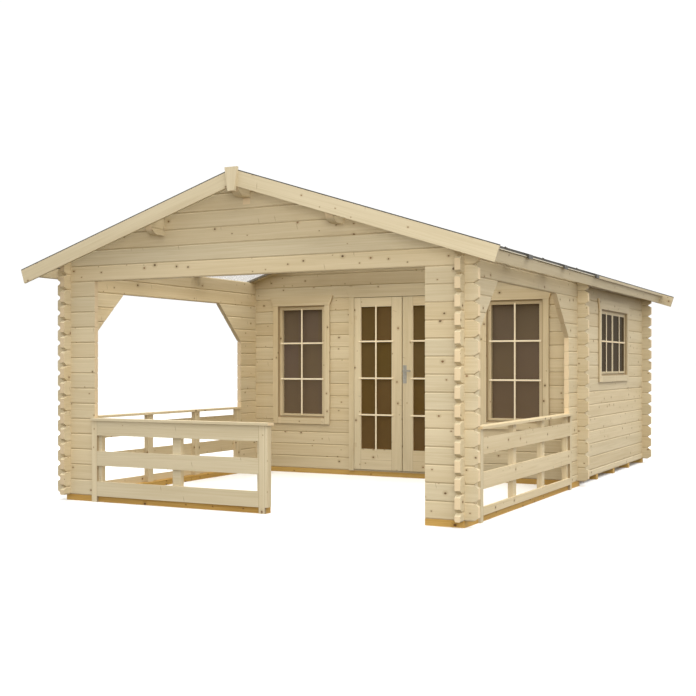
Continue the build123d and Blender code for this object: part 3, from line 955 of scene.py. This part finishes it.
@dataclass
class LogWalls:
    """Walls of logs; those along X start with a whole log, the side walls with half a log."""

    log_height: float = 0.130
    joint: float = 0.0024

    def dress(self) -> None:
        """Gives every wall its grain and joints."""
        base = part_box("left_front_leg")[0].z
        whole = Rows(Axis.Z, base, self.log_height, self.joint)
        half = replace(whole, start=base - self.log_height / 2)
        names = ("left_front_leg", "right_front_leg", "front_gable", "left_room_front",
                 "right_room_front", "room_front_gable", "rear_wall")
        for seed, name in enumerate(names):
            dress_timber(name, Grain(Axis.X, whole, seed=seed), self._finish(name))
        names = ("left_side_leg", "right_side_leg", "left_room_wall", "right_room_wall",
                 "left_wall_plate", "right_wall_plate")
        for seed, name in enumerate(names, 20):
            dress_timber(name, Grain(Axis.Y, half, seed=seed), self._finish(name))

    def _finish(self, node: str) -> Timber:
        """Spruce whose end grain on the left is painted darker, as painted shade where less light falls."""
        return SHADE_PAINTED_LEFT_END if node.startswith(Side.LEFT.word) else SPRUCE


@dataclass
class GroundTimbers:
    """Impregnated sills and joists, and the room's boarded floor."""

    sill: float = 0.070
    board: float = 0.096
    joint: float = 0.0015

    def dress(self) -> None:
        """Gives the timbers and the floor their finishes."""
        low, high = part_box("veranda_sills")
        sides = Run(Axis.Y, (Band(Axis.Y, low.y + self.sill, high.y + FAR),))
        dress_timber("veranda_sills", Grain(Axis.X, runs=(sides,), seed=3), IMPREGNATED)
        dress_timber("floor_joists", Grain(Axis.X, seed=4), IMPREGNATED)
        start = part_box("room_floor")[0].x
        dress_timber("room_floor", Grain(Axis.Y, Rows(Axis.X, start, self.board, self.joint), seed=5))


@dataclass
class Roof:
    """Boarding and felt over the room, clear sheets over the veranda, and the timbers between."""

    pitch: float = 17.9
    board: float = 0.096
    joint: float = 0.0018
    bargeboard: float = 0.020
    rear_strip: float = 0.0032
    felt: float = 0.0025
    felt_edge: float = 2.117
    felt_laps: tuple[float, float] = (1.10, 1.18)
    ridge_laps: tuple[float, float] = (0.10, 0.16)
    felt_step: float = 0.25
    felt_wobble: float = 0.0022
    felt_waves: tuple[float, float] = (2.4, 5.0)
    nail: tuple[tuple[float, float], ...] = ((0.0045, -0.0015), (0.0050, 0.0005), (0.0035, 0.0014))
    nail_sides: int = 8
    nail_pitch: float = 0.125
    nail_inset: float = 0.018
    screw: tuple[tuple[float, float], ...] = ((0.0100, -0.0010), (0.0100, 0.0012), (0.0060, 0.0016),
                                              (0.0060, 0.0050), (0.0045, 0.0064), (0.0022, 0.0050))
    screw_sides: int = 12
    screw_places: tuple[float, ...] = (0.22, 0.56, 0.90, 1.24, 1.58, 1.92)
    bar_pitch: float = 0.990
    bar: float = 0.100
    bar_rise: float = 0.002
    strip_rise: float = 0.003
    lip: float = 0.003
    lip_painted_highlight: float = 0.0055
    nose: float = 0.020
    nose_height: float = 0.031
    felt_fold: float = 0.005
    lath: tuple[float, float] = (0.004, 0.0260)
    lath_drop: float = 0.0105
    lath_ease: float = 0.0012

    def build(self) -> None:
        """Dresses the roof's nodes and adds felt courses, nails and screws."""
        for seed, side in enumerate(Side):
            self._dress_slope(side, 30 + seed * 4)
        dress_timber("ridge_purlin", Grain(Axis.Y, seed=40))
        dress_timber("side_purlins", Grain(Axis.Y, seed=43))
        dress_timber("eave_boards", Grain(Axis.Y, seed=41))
        dress_timber("ridge_blocks", Grain(Axis.Z, seed=42))
        dress(ClearSheet().material("clear_sheet"), "left_glazing", "right_glazing")
        felt = MineralFelt().material("mineral_felt")
        dress(felt, "roof_felt")
        low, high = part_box("right_glazing")
        # Painted highlight: the lower part of the sheets' edge lip is painted pale, standing in for the lit
        # top edge of the eave board.
        lip = (Band(Axis.X, high.x - SKIN, high.x + self.lip + SKIN / 3),
               Band(Axis.Z, 0.0, low.z + self.lip_painted_highlight))
        bar = DARK_BAR.material("dark_bar", lip)
        dress(bar, "glazing_bars")
        self._felt_courses(felt)
        self._felt_nails(SATIN_STEEL.material("felt_nail_steel"))
        self._felt_laths()
        self._joint_caps(bar)
        self._bar_screws(bar)

    def _dress_slope(self, side: Side, seed: int) -> None:
        """Dresses one slope's boards and bargeboards.

        Args:
            side: Which slope.
            seed: Number that varies the grain.
        """
        slope = -side.value * self.pitch
        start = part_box("left_roof_boards")[0].y
        rows = Rows(Axis.Y, start, self.board, self.joint)
        dress_timber(f"{side.word}_roof_boards", Grain(Axis.X, rows, slope=slope, seed=seed))
        for number, end in enumerate(("front", "rear"), 1):
            grain = Grain(Axis.X, slope=slope, seed=seed + number)
            # Painted shade: the rear bargeboards get the darker copy of the spruce.
            dress_timber(f"{side.word}_{end}_bargeboard", grain, PLAIN_END if end == "front" else SHADE_PAINTED_SPRUCE)

    def _on_slope(self, side: Side, down: float, y: float, lift: float) -> Vector:
        """Place on the felt of one slope.

        Args:
            side: Which slope.
            down: Distance from the ridge along the slope.
            y: Place along the house.
            lift: Height above the felt, square to the slope.

        Returns:
            The place.
        """
        lean = math.radians(self.pitch)
        ridge_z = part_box("roof_felt")[1].z - self.rear_strip
        return Vector((side.value * (down * math.cos(lean) + lift * math.sin(lean)), y,
                       ridge_z - down * math.sin(lean) + lift * math.cos(lean)))

    def _felt_limits(self) -> tuple[float, float]:
        """Front and rear end of the felt courses."""
        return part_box("glazing_bars")[1].y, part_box("roof_felt")[1].y - self.bargeboard

    def _felt_courses(self, felt: bpy.types.Material) -> None:
        """Makes the lapped courses of felt and the cap over the ridge.

        Args:
            felt: The finish.
        """
        joinery = Joinery()
        near, far = self.felt_laps
        top, cap = self.ridge_laps
        thick = self.felt
        for side in Side:
            lower = ((near, SKIN), (near, thick), (self.felt_edge, thick), (self.felt_edge, SKIN))
            joinery.ribbon(self._course(side, lower))
            upper = ((top, SKIN), (top, thick), (near - thick, thick), (near, thick * 2), (far, thick * 2),
                     (far, thick + SKIN), (near, thick + SKIN), (near - thick, SKIN))
            joinery.ribbon(self._course(side, upper))
            ridge = ((0.0, SKIN), (0.0, thick), (top - thick, thick), (top, thick * 2), (cap, thick * 2),
                     (cap, thick + SKIN), (top, thick + SKIN), (top - thick, SKIN))
            joinery.ribbon(self._course(side, ridge))
        joinery.finish("felt_courses", felt, HOUSE, "roof_felt")

    def _course(self, side: Side, outline: tuple[tuple[float, float], ...]) -> list[list[Vector]]:
        """Outlines of one course of felt, with slightly uneven edges.

        Args:
            side: Which slope.
            outline: Distance down the slope and height of each corner.

        Returns:
            The outlines from front to rear.
        """
        y0, y1 = self._felt_limits()
        count = round((y1 - y0) / self.felt_step)
        lowest = max(down for down, lift in outline)
        along, down_slope = self.felt_waves
        sections = []
        for k in range(count + 1):
            drift = self.felt_wobble * math.sin(k * along + lowest * down_slope + side.value)
            sections.append([self._on_slope(side, down - (drift if down == lowest else 0.0),
                                            y0 + (y1 - y0) * k / count, lift) for down, lift in outline])
        return sections

    def _felt_nails(self, steel: bpy.types.Material) -> None:
        """Makes the rows of clout nails along the felt's lower edges.

        Args:
            steel: The finish.
        """
        joinery = Joinery()
        y0, y1 = self._felt_limits()
        rows = ((self.felt_edge, self.felt), (self.felt_laps[1], self.felt * 2),
                (self.ridge_laps[1], self.felt * 2))
        count = int((y1 - y0) / self.nail_pitch)
        for side in Side:
            turn = self._square(side)
            for edge, lift in rows:
                for k in range(count):
                    y = y0 + (k + 0.5) * self.nail_pitch
                    place = self._on_slope(side, edge - self.nail_inset, y, lift)
                    joinery.turning(self.nail, self.nail_sides, Matrix.Translation(place) @ turn)
        joinery.finish("felt_nails", steel, HOUSE, "steel")

    def _felt_laths(self) -> None:
        """Makes the laths that hold the felt's turned-down edges along the eaves."""
        joinery = Joinery()
        y0, y1 = self._felt_limits()
        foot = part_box("right_glazing")[0].z - self.lath_drop
        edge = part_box("right_glazing")[1].x + self.felt_fold + SKIN
        thick, tall = self.lath
        for side in Side:
            ends = sorted((side.value * edge, side.value * (edge + thick)))
            joinery.timber(Vector((ends[0], y0, foot)), Vector((ends[1], y1, foot + tall)), self.lath_ease)
        # Painted shade: the laths get the darker copy of the spruce.
        wood = SHADE_PAINTED_SPRUCE.material("timber_felt_laths", Grain(Axis.Y, seed=44))
        joinery.finish("felt_laths", wood, HOUSE, "spruce")

    def _joint_caps(self, finish: bpy.types.Material) -> None:
        """Makes the turned-down ends of the strip over the joint of sheets and felt.

        Args:
            finish: The finish.
        """
        joinery = Joinery()
        ridge_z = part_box("roof_felt")[1].z - self.rear_strip
        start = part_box("right_glazing")[1].x + self.felt_fold + SKIN
        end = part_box("right_glazing")[1].x + self.nose - SKIN
        y0, y1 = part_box("roof_felt")[0].y + SKIN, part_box("glazing_bars")[1].y - SKIN
        for side in Side:
            outline = []
            for x, drop in ((start, SKIN), (end, SKIN), (end, self.nose_height), (start, self.nose_height)):
                z = ridge_z - x * math.tan(math.radians(self.pitch)) - drop
                outline.append(Vector((side.value * x, 0.0, z)))
            joinery.ribbon([[point + Vector((0.0, y, 0.0)) for point in outline] for y in (y0, y1)])
        joinery.finish("joint_caps", finish, HOUSE, "glazing_bar")

    def _bar_screws(self, steel: bpy.types.Material) -> None:
        """Makes the screws with washers on the glazing bars and on the joint strip.

        Args:
            steel: The finish.
        """
        joinery = Joinery()
        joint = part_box("roof_felt")[0].y
        lines = [(joint - k * self.bar_pitch - self.bar / 2, self.bar_rise) for k in (1, 2)]
        lines.append((joint + self.bar / 2, self.strip_rise))
        for side in Side:
            turn = self._square(side)
            for y, lift in lines:
                for down in self.screw_places:
                    place = self._on_slope(side, down, y, lift)
                    joinery.turning(self.screw, self.screw_sides, Matrix.Translation(place) @ turn)
        joinery.finish("bar_screws", steel, HOUSE, "steel")

    def _square(self, side: Side) -> Matrix:
        """Turn that points a piece's height out of one slope."""
        return Matrix.Rotation(side.value * math.radians(self.pitch), 4, "Y")


@dataclass
class Railings:
    """Front railing beside the way in, and the two side railings."""

    batten: float = 0.056
    board: float = 0.020
    lip: float = 0.015
    board_height: float = 0.124
    screw: tuple[tuple[float, float], ...] = ((0.0040, -0.0010), (0.0040, 0.0003), (0.0034, 0.0006),
                                              (0.0018, -0.0006))
    screw_sides: int = 10
    screw_inset: float = 0.030

    def build(self) -> None:
        """Gives boards and uprights their own grain, and adds the screws."""
        self._front()
        self._sides()
        self._screws()

    def _front(self) -> None:
        """Dresses the front railing."""
        low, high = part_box("front_railing")
        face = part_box("left_front_leg")[0].y
        below = Band(Axis.Z, -FAR, high.z - self.board)
        left, end = low.x + self.batten, high.x - self.lip - self.board
        right = end - self.batten
        runs = uprights(Axis.X, ((-FAR, left), (right, FAR)), below)
        runs += uprights(Axis.Y, ((face + SKIN, FAR),), below)
        seams = tuple(Seam(Axis.X, x, below) for x in (left, right, end))
        dress_timber("front_railing", Grain(Axis.X, runs=runs, seams=seams, seed=50))

    def _sides(self) -> None:
        """Dresses the side railings."""
        low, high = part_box("side_railings")
        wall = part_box("right_side_leg")[1].x
        below = Band(Axis.Z, -FAR, high.z - self.board)
        near, far = low.y + self.batten, high.y - self.batten
        runs = uprights(Axis.Y, ((-FAR, near), (far, FAR)), below)
        runs += uprights(Axis.X, ((-wall + SKIN, wall - SKIN),), below)
        seams = tuple(Seam(Axis.Y, y, below) for y in (near, far))
        dress_timber("side_railings", Grain(Axis.Y, runs=runs, seams=seams, seed=51))

    def _levels(self, first: float, high_z: float) -> list[float]:
        """Middle heights of a railing's boards.

        Args:
            first: Height of the lowest board.
            high_z: Top of the cap.

        Returns:
            The heights from the lowest up.
        """
        base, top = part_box("left_front_leg")[0].z, high_z - self.board
        gap = (top - base - 3 * self.board_height) / 2
        step = self.board_height + gap
        second = base + first + gap + self.board_height / 2
        return [base + first / 2, second, second + step]

    def _screws(self) -> None:
        """Makes two screws at each crossing of a board and an upright."""
        joinery = Joinery()
        low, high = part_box("front_railing")
        end = high.x - self.lip - self.board
        out = Matrix.Rotation(math.radians(90), 4, "X")
        for x in (low.x + self.batten / 2, end - self.batten / 2):
            for z in self._levels(self.board_height, high.z):
                for dz in (-self.screw_inset, self.screw_inset):
                    place = Matrix.Translation((x, low.y + self.lip, z + dz))
                    joinery.turning(self.screw, self.screw_sides, place @ out)
        low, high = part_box("side_railings")
        for side in Side:
            out = Matrix.Rotation(side.value * math.radians(90), 4, "Y")
            for y in (low.y + self.batten / 2, high.y - self.batten / 2):
                for z in self._levels(self.board_height / 2, high.z)[1:]:
                    for dz in (-self.screw_inset, self.screw_inset):
                        place = Matrix.Translation((side.value * (high.x - self.lip), y, z + dz))
                        joinery.turning(self.screw, self.screw_sides, place @ out)
        joinery.finish("railing_screws", YELLOW_ZINC.material("railing_screw_zinc"), HOUSE, "steel")


@dataclass
class Windows:
    """Windows beside the door and the double window in the right wall, with their bars."""

    casing: float = 0.060
    casing_depth: float = 0.020
    lap: float = 0.012
    rim: float = 0.024
    sash: float = 0.030
    sash_back: float = 0.010
    sash_depth: float = 0.050
    sill_casing: float = 0.065
    head: float = 0.104
    slant: float = 0.040
    bar: float = 0.017
    bar_depth: float = 0.009
    ease: float = 0.003
    overrun: float = 0.020
    rise: float = 0.012
    room_levels: tuple[float, ...] = (0.335, 0.678)
    side_levels: tuple[float, ...] = (0.525,)
    # Width of the painted shade where a casing meets the wall.
    shade: float = 0.012
    outer_pane: tuple[float, float] = (0.002, 0.005)

    def build(self) -> None:
        """Dresses frames and glass and makes the bars."""
        low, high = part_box("right_window_frame")
        half = self._pane_half(high.x - low.x)
        columns = Rows(Axis.X, (low.x + high.x) / 2 - half, half)
        foot, top = self._pane_heights(low.z, high.z)
        glass = WINDOW_PANE.material("window_glass", columns, Rows(Axis.Z, foot, (top - foot) / 3))
        dress(glass, "window_glass")
        for seed, side in enumerate(Side, 61):
            node = f"{side.word}_window_frame"
            low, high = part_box(node)
            self._dress_frame(node, Axis.X, 1, seed)
            place = Matrix.Translation(((low.x + high.x) / 2, low.y + self.casing_depth, 0.0))
            self._bars(f"{side.word}_window_bars", place, self._panes(high.x - low.x, 1),
                       self.room_levels, low.z, high.z)
        low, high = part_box("side_window_frame")
        self._dress_frame("side_window_frame", Axis.Y, 2, 63)
        place = Matrix.Translation((high.x - self.casing_depth, (low.y + high.y) / 2, 0.0))
        place = place @ Matrix.Rotation(math.radians(90), 4, "Z")
        clear = self._clear(high.y - low.y)
        foot, top = self._pane_heights(low.z, high.z)
        columns = Rows(Axis.Y, (low.y + high.y - clear) / 2, clear / 4)
        glass = SIDE_PANE.material("side_window_glass", columns, Rows(Axis.Z, foot, (top - foot) / 2))
        self._outer_panes(place, self._panes(high.y - low.y, 2), low.z, high.z, glass)
        self._bars("side_window_bars", place, self._panes(high.y - low.y, 2), self.side_levels,
                   low.z, high.z)

    def _clear(self, width: float) -> float:
        """Clear width between a frame's stiles, from the casing's whole width."""
        return width - 2 * (self.slant + self.casing - self.lap + self.rim)

    def _pane_half(self, width: float) -> float:
        """Half a single pane's width, from the casing's whole width."""
        return self._clear(width) / 2 - self.sash

    def _pane_heights(self, low_z: float, high_z: float) -> tuple[float, float]:
        """Foot and top of the panes, from the casing's limits."""
        edge = self.rim + self.sash - self.lap
        return low_z + self.sill_casing + edge, high_z - self.head - edge

    def _panes(self, width: float, sashes: int) -> list[tuple[float, float]]:
        """Limits of the panes from the window's middle.

        Args:
            width: The casing's whole width.
            sashes: Number of sashes.

        Returns:
            Both edges of each pane.
        """
        clear = self._clear(width)
        each = clear / sashes
        starts = [k * each - clear / 2 for k in range(sashes)]
        return [(start + self.sash, start + each - self.sash) for start in starts]

    def _dress_frame(self, node: str, along: Axis, sashes: int, seed: int) -> None:
        """Gives a frame upright and level grain.

        Args:
            node: The frame's node.
            along: Direction of its width.
            sashes: Number of sashes.
            seed: Number that varies the grain.
        """
        low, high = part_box(node)
        start, end = low[along.value], high[along.value]
        middle, out = (start + end) / 2, (end - start) / 2 - self.slant
        inner, top = out - self.casing, high.z - self.head
        panes = self._panes(end - start, sashes)
        edges = [-FAR, *(edge for pane in panes for edge in pane), FAR]
        ranges = tuple((middle + a, middle + b) for a, b in zip(edges[::2], edges[1::2]))
        sill = Band(Axis.Z, low.z, low.z + self.sill_casing)
        seams = tuple(Seam(along, middle + k * (inner + SKIN), sill) for k in (-1, 1))
        seams += (Seam(Axis.Z, top, Band(along, middle - out, middle + out)),)
        # Painted shade: every face of the frame within this width of the wall's face is darkened, where shade
        # falls beside the wall.
        seams += (Seam(*self._wall_face(node), Band(Axis.Z, 0.0, FAR), self.shade),)
        grain = Grain(along, runs=uprights(along, ranges, Band(Axis.Z, low.z - SKIN, top)),
                      seams=seams, seed=seed)
        dress_timber(node, grain)

    def _outer_panes(self, place: Matrix, panes: list[tuple[float, float]], low_z: float, high_z: float,
                     glass: bpy.types.Material) -> None:
        """Makes the outer sheets of the side window's double glazing.

        Args:
            place: Frame of the window, with the wall's face at zero depth.
            panes: Limits of each sash's glass.
            low_z: Foot of the casing.
            high_z: Top of the casing.
            glass: The finish.
        """
        joinery = Joinery()
        foot, top = self._pane_heights(low_z, high_z)
        near, far = self.outer_pane
        for left, right in panes:
            joinery.timber(Vector((left + SKIN, self.sash_back + near, foot + SKIN)),
                           Vector((right - SKIN, self.sash_back + far, top - SKIN)), SKIN, place)
        joinery.finish("side_window_outer_panes", glass, HOUSE, "window_glass")

    def _wall_face(self, node: str) -> tuple[Axis, float]:
        """Finds the wall's face behind a casing.

        Args:
            node: The frame's node.

        Returns:
            The face's axis and its place there.
        """
        low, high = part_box(node)
        if node == "side_window_frame":
            return Axis.X, high.x - self.casing_depth
        return Axis.Y, low.y + self.casing_depth

    def _bars(self, name: str, place: Matrix, panes: list[tuple[float, float]],
              levels: tuple[float, ...], low_z: float, high_z: float) -> None:
        """Makes a window's glazing bars, outside and inside.

        Args:
            name: The piece's name.
            place: Frame of the window, with the wall's face at zero depth.
            panes: Limits of each sash's glass.
            levels: Heights of the level bars, as shares of the glass.
            low_z: Foot of the casing.
            high_z: Top of the casing.
        """
        joinery = Joinery()
        foot, top = self._pane_heights(low_z, high_z)
        half = self.bar / 2
        faces = (self.sash_back - self.bar_depth, self.sash_back + self.sash_depth)
        for front in faces:
            back = front + self.bar_depth
            for left, right in panes:
                x = (left + right) / 2
                joinery.timber(Vector((x - half, front + SKIN, foot - self.rise)),
                               Vector((x + half, back - SKIN, top + self.rise)), self.ease, place)
                for share in levels:
                    z = foot + (top - foot) * share
                    joinery.timber(Vector((left - self.overrun, front, z - half)),
                                   Vector((right + self.overrun, back, z + half)), self.ease, place)
        joinery.finish(name, PALE_SPRUCE.material("timber_" + name, Grain(Axis.X, seed=64)), HOUSE, "spruce")


@dataclass
class DoubleDoor:
    """Two glazed leaves, their frame, bars and hardware."""

    bar: float = 0.017
    bar_depth: float = 0.009
    ease: float = 0.003
    overrun: float = 0.024
    rise: float = 0.014
    levels: tuple[float, ...] = (0.240, 0.497, 0.756)
    rail_seam: float = 0.172
    gap: float = 0.005
    casing: float = 0.060
    stop: float = 0.017
    handle_plate: tuple[float, float] = (0.040, 0.003)
    key_ring: tuple[tuple[float, float], ...] = ((0.0115, -0.0010), (0.0115, 0.0015), (0.0095, 0.0030),
                                                 (0.0085, 0.0030), (0.0080, 0.0010))
    key_plug: tuple[tuple[float, float], ...] = ((0.0070, 0.0000), (0.0070, 0.0035), (0.0062, 0.0042))
    plate_screw: tuple[tuple[float, float], ...] = ((0.0036, -0.0005), (0.0036, 0.0010), (0.0026, 0.0018),
                                                    (0.0014, 0.0008))
    ring_sides: int = 20
    plug_sides: int = 16
    screw_sides: int = 12
    key_share: float = 0.28
    screw_share: float = 0.08

    def build(self) -> None:
        """Dresses the leaves and the frame, and makes bars and lock pieces."""
        self._dress_frame()
        for seed, side in enumerate(Side):
            self._leaf(side, seed)
        dress(YELLOW_ZINC.material("hinge_zinc"), "door_frame_hinges", "left_door_hinges",
              "right_door_hinges")
        steel = SATIN_STEEL.material("satin_steel")
        dress(steel, "door_handle")
        self._lock(steel)

    def _dress_frame(self) -> None:
        """Gives the door frame upright and level grain."""
        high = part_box("right_door")[1]
        edge, head = high.x + self.gap, high.z + self.gap
        inner = edge - self.stop
        runs = uprights(Axis.X, ((-FAR, -inner), (inner, FAR)), Band(Axis.Z, -FAR, head))
        out = edge + self.casing
        seams = (Seam(Axis.Z, head, Band(Axis.X, -out, out)),)
        dress_timber("door_frame", Grain(Axis.X, runs=runs, seams=seams, seed=70))

    def _leaf(self, side: Side, seed: int) -> None:
        """Dresses one leaf and its glass, and makes its bars.

        Args:
            side: Which leaf.
            seed: Number that varies the grain.
        """
        leaf = f"{side.word}_door"
        low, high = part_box(leaf)
        glass_low, glass_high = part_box(f"{leaf}_glass")
        rails = (Band(Axis.Z, low.z, glass_low.z), Band(Axis.Z, glass_high.z, high.z))
        seams = tuple(Seam(Axis.X, x, rail) for rail in rails
                      for x in (glass_low.x - SKIN, glass_high.x + SKIN))
        seams += (Seam(Axis.Z, self.rail_seam, Band(Axis.X, glass_low.x, glass_high.x)),)
        stiles = ((-FAR, glass_low.x - SKIN), (glass_high.x + SKIN, FAR))
        runs = uprights(Axis.X, stiles, Band(Axis.Z, low.z - SKIN, high.z + SKIN))
        dress_timber(leaf, Grain(Axis.X, runs=runs, seams=seams, seed=72 + seed))
        columns = Rows(Axis.X, glass_low.x, (glass_high.x - glass_low.x) / 2)
        rows = Rows(Axis.Z, glass_low.z, (glass_high.z - glass_low.z) / (len(self.levels) + 1))
        dress(DOOR_PANE.material(f"{leaf}_glass", columns, rows), f"{leaf}_glass")
        self._bars(leaf, seed)

    def _bars(self, leaf: str, seed: int) -> None:
        """Makes one leaf's glazing bars, outside and inside.

        Args:
            leaf: Name of the leaf, and of the body that it rides on.
            seed: Number that varies the grain.
        """
        joinery = Joinery()
        low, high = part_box(leaf)
        foot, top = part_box(f"{leaf}_glass")
        half, x = self.bar / 2, (foot.x + top.x) / 2
        for front in (low.y - self.bar_depth, high.y):
            back = front + self.bar_depth
            joinery.timber(Vector((x - half, front + SKIN, foot.z - self.rise)),
                           Vector((x + half, back - SKIN, top.z + self.rise)), self.ease)
            for share in self.levels:
                z = foot.z + (top.z - foot.z) * share
                joinery.timber(Vector((foot.x - self.overrun, front, z - half)),
                               Vector((top.x + self.overrun, back, z + half)), self.ease)
        wood = PALE_SPRUCE.material(f"timber_{leaf}_bars", Grain(Axis.X, seed=76 + seed))
        joinery.finish(f"{leaf}_bars", wood, leaf, "spruce")

    def _lock(self, steel: bpy.types.Material) -> None:
        """Makes the key cylinders and the screws of both handle plates.

        Args:
            steel: The finish.
        """
        joinery = Joinery()
        low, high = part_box("right_door")
        width, depth = self.handle_plate
        x = low.x + self.gap + width / 2
        foot, top = self._plate_limits()
        for face, turn in ((low.y - depth, 90), (high.y + depth, -90)):
            out = Matrix.Rotation(math.radians(turn), 4, "X")
            key = Matrix.Translation((x, face, foot + (top - foot) * self.key_share)) @ out
            joinery.turning(self.key_ring, self.ring_sides, key)
            joinery.turning(self.key_plug, self.plug_sides, key)
            for share in (self.screw_share, 1 - self.screw_share):
                place = Matrix.Translation((x, face, foot + (top - foot) * share))
                joinery.turning(self.plate_screw, self.screw_sides, place @ out)
        joinery.finish("lock_pieces", steel, "right_door", "steel")

    def _plate_limits(self) -> tuple[float, float]:
        """Foot and top of the handle's plate."""
        low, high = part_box("door_handle")
        return low.z, high.z


@dataclass(frozen=True)
class Softbox:
    """A soft light that no camera sees."""

    name: str
    size: tuple[float, float]
    power: float
    place: tuple[float, float, float]
    aim: tuple[float, float, float]
    colour: Colour = (1.0, 1.0, 1.0)

    def build(self) -> None:
        """Hangs the light and points it at its aim."""
        data = bpy.data.lights.new(self.name, "AREA")
        data.shape = "RECTANGLE"
        data.size, data.size_y = self.size
        data.energy = self.power
        data.color = self.colour
        lamp = bpy.data.objects.new(self.name, data)
        lamp.location = self.place
        back = Vector(self.place) - Vector(self.aim)
        lamp.rotation_euler = back.to_track_quat("Z", "Y").to_euler()
        lamp.visible_camera = False
        lamp.visible_glossy = False
        bpy.context.scene.collection.objects.link(lamp)


@dataclass
class Studio:
    """Pale floor, soft light and the photograph's camera."""

    camera_place: tuple[float, float, float] = (4.605, -10.199, 1.153)
    camera_turn: float = 27.055
    lens: float = 56.36
    sensor: float = 36.0
    shift_y: float = 0.0255
    floor_size: float = 600.0
    floor_tones: tuple[Colour, Colour] = ((0.93, 0.93, 0.92), (0.95, 0.95, 0.945))
    floor_cloud: float = 0.4
    floor_roughness: float = 0.9
    view_reach: float = 4.0
    horizon: tuple[float, float] = (-0.15, -0.02)
    sky: Colour = (1.03, 1.03, 1.03)
    ground: Colour = (0.16, 0.12, 0.07)
    softbox: Softbox = Softbox("softbox", (16.0, 16.0), 1650.0, (0.0, 0.0, 10.0), (0.0, 0.0, 0.0))
    sun_power: float = 0.9
    sun_spread: float = 45.0
    sun_way: tuple[float, float, float] = (0.62, -0.28, 0.73)
    key: Softbox = Softbox("key", (3.0, 3.0), 225.0, (4.6, -9.6, 2.2), (0.8, -2.9, 1.6))
    fill: Softbox = Softbox("veranda_fill", (3.0, 2.4), 25.0, (0.0, -1.45, 1.98), (0.0, -1.44, 0.0),
                            (1.0, 0.93, 0.80))

    def build(self) -> None:
        """Sets up floor, lights and camera."""
        self._floor()
        self._surround()
        self._lights()
        self._camera()

    def _floor(self) -> None:
        """Lays the floor, which throws no light back onto the house."""
        data = bpy.data.meshes.new("floor")
        s = self.floor_size
        data.from_pydata([(-s, -s, 0), (s, -s, 0), (s, s, 0), (-s, s, 0)], [], [(0, 1, 2, 3)])
        g = Graph("pale_floor")
        cloud = g.noise(g.spot, self.floor_cloud)
        g.surface("Base Color", g.blend(cloud, *self.floor_tones))
        g.surface("Roughness", self.floor_roughness)
        g.surface("Specular IOR Level", 0.0)
        data.materials.append(g.material)
        floor = bpy.data.objects.new("floor", data)
        floor.visible_diffuse = False
        bpy.context.scene.collection.objects.link(floor)

    def _surround(self) -> None:
        """Makes the even white surround, dimmer below the horizon."""
        world = bpy.data.worlds.new("studio")
        bpy.context.scene.world = world
        world.use_nodes = True
        nodes, links = world.node_tree.nodes, world.node_tree.links
        way = nodes.new("ShaderNodeTexCoord")
        parts = nodes.new("ShaderNodeSeparateXYZ")
        rise = nodes.new("ShaderNodeMapRange")
        rise.inputs["From Min"].default_value, rise.inputs["From Max"].default_value = self.horizon
        tone = nodes.new("ShaderNodeMix")
        tone.data_type = "RGBA"
        share, below, above = (tone.inputs[place] for place in MIX_COLOURS)
        below.default_value = (*self.ground, 1.0)
        above.default_value = (*self.sky, 1.0)
        links.new(way.outputs["Generated"], parts.inputs[0])
        links.new(parts.outputs["Z"], rise.inputs["Value"])
        links.new(rise.outputs[0], share)
        links.new(tone.outputs[MIXED_COLOUR], nodes["Background"].inputs["Color"])

    def _lights(self) -> None:
        """Hangs a wide softbox overhead, a key at the front right and a fill in the veranda."""
        for softbox in (self.softbox, self.key, self.fill):
            softbox.build()
        data = bpy.data.lights.new("sun", "SUN")
        data.energy = self.sun_power
        data.angle = math.radians(self.sun_spread)
        sun = bpy.data.objects.new("sun", data)
        sun.rotation_euler = Vector(self.sun_way).to_track_quat("Z", "Y").to_euler()
        bpy.context.scene.collection.objects.link(sun)

    def _camera(self) -> None:
        """Places the camera."""
        data = bpy.data.cameras.new("camera")
        data.lens = self.lens
        data.sensor_width = self.sensor
        data.shift_y = self.shift_y
        data.clip_end = self.floor_size * self.view_reach
        camera = bpy.data.objects.new("camera", data)
        camera.location = self.camera_place
        camera.rotation_euler = (math.radians(90), 0.0, math.radians(self.camera_turn))
        bpy.context.scene.collection.objects.link(camera)
        bpy.context.scene.camera = camera


def main() -> None:
    """Builds every sub-assembly and the studio."""
    logging.basicConfig(level=logging.INFO, format="%(message)s")
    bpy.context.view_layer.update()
    LogWalls().dress()
    GroundTimbers().dress()
    Roof().build()
    Railings().build()
    Windows().build()
    DoubleDoor().build()
    Studio().build()
    bpy.context.scene.view_settings.view_transform = "Standard"


if __name__ == "__main__":
    main()
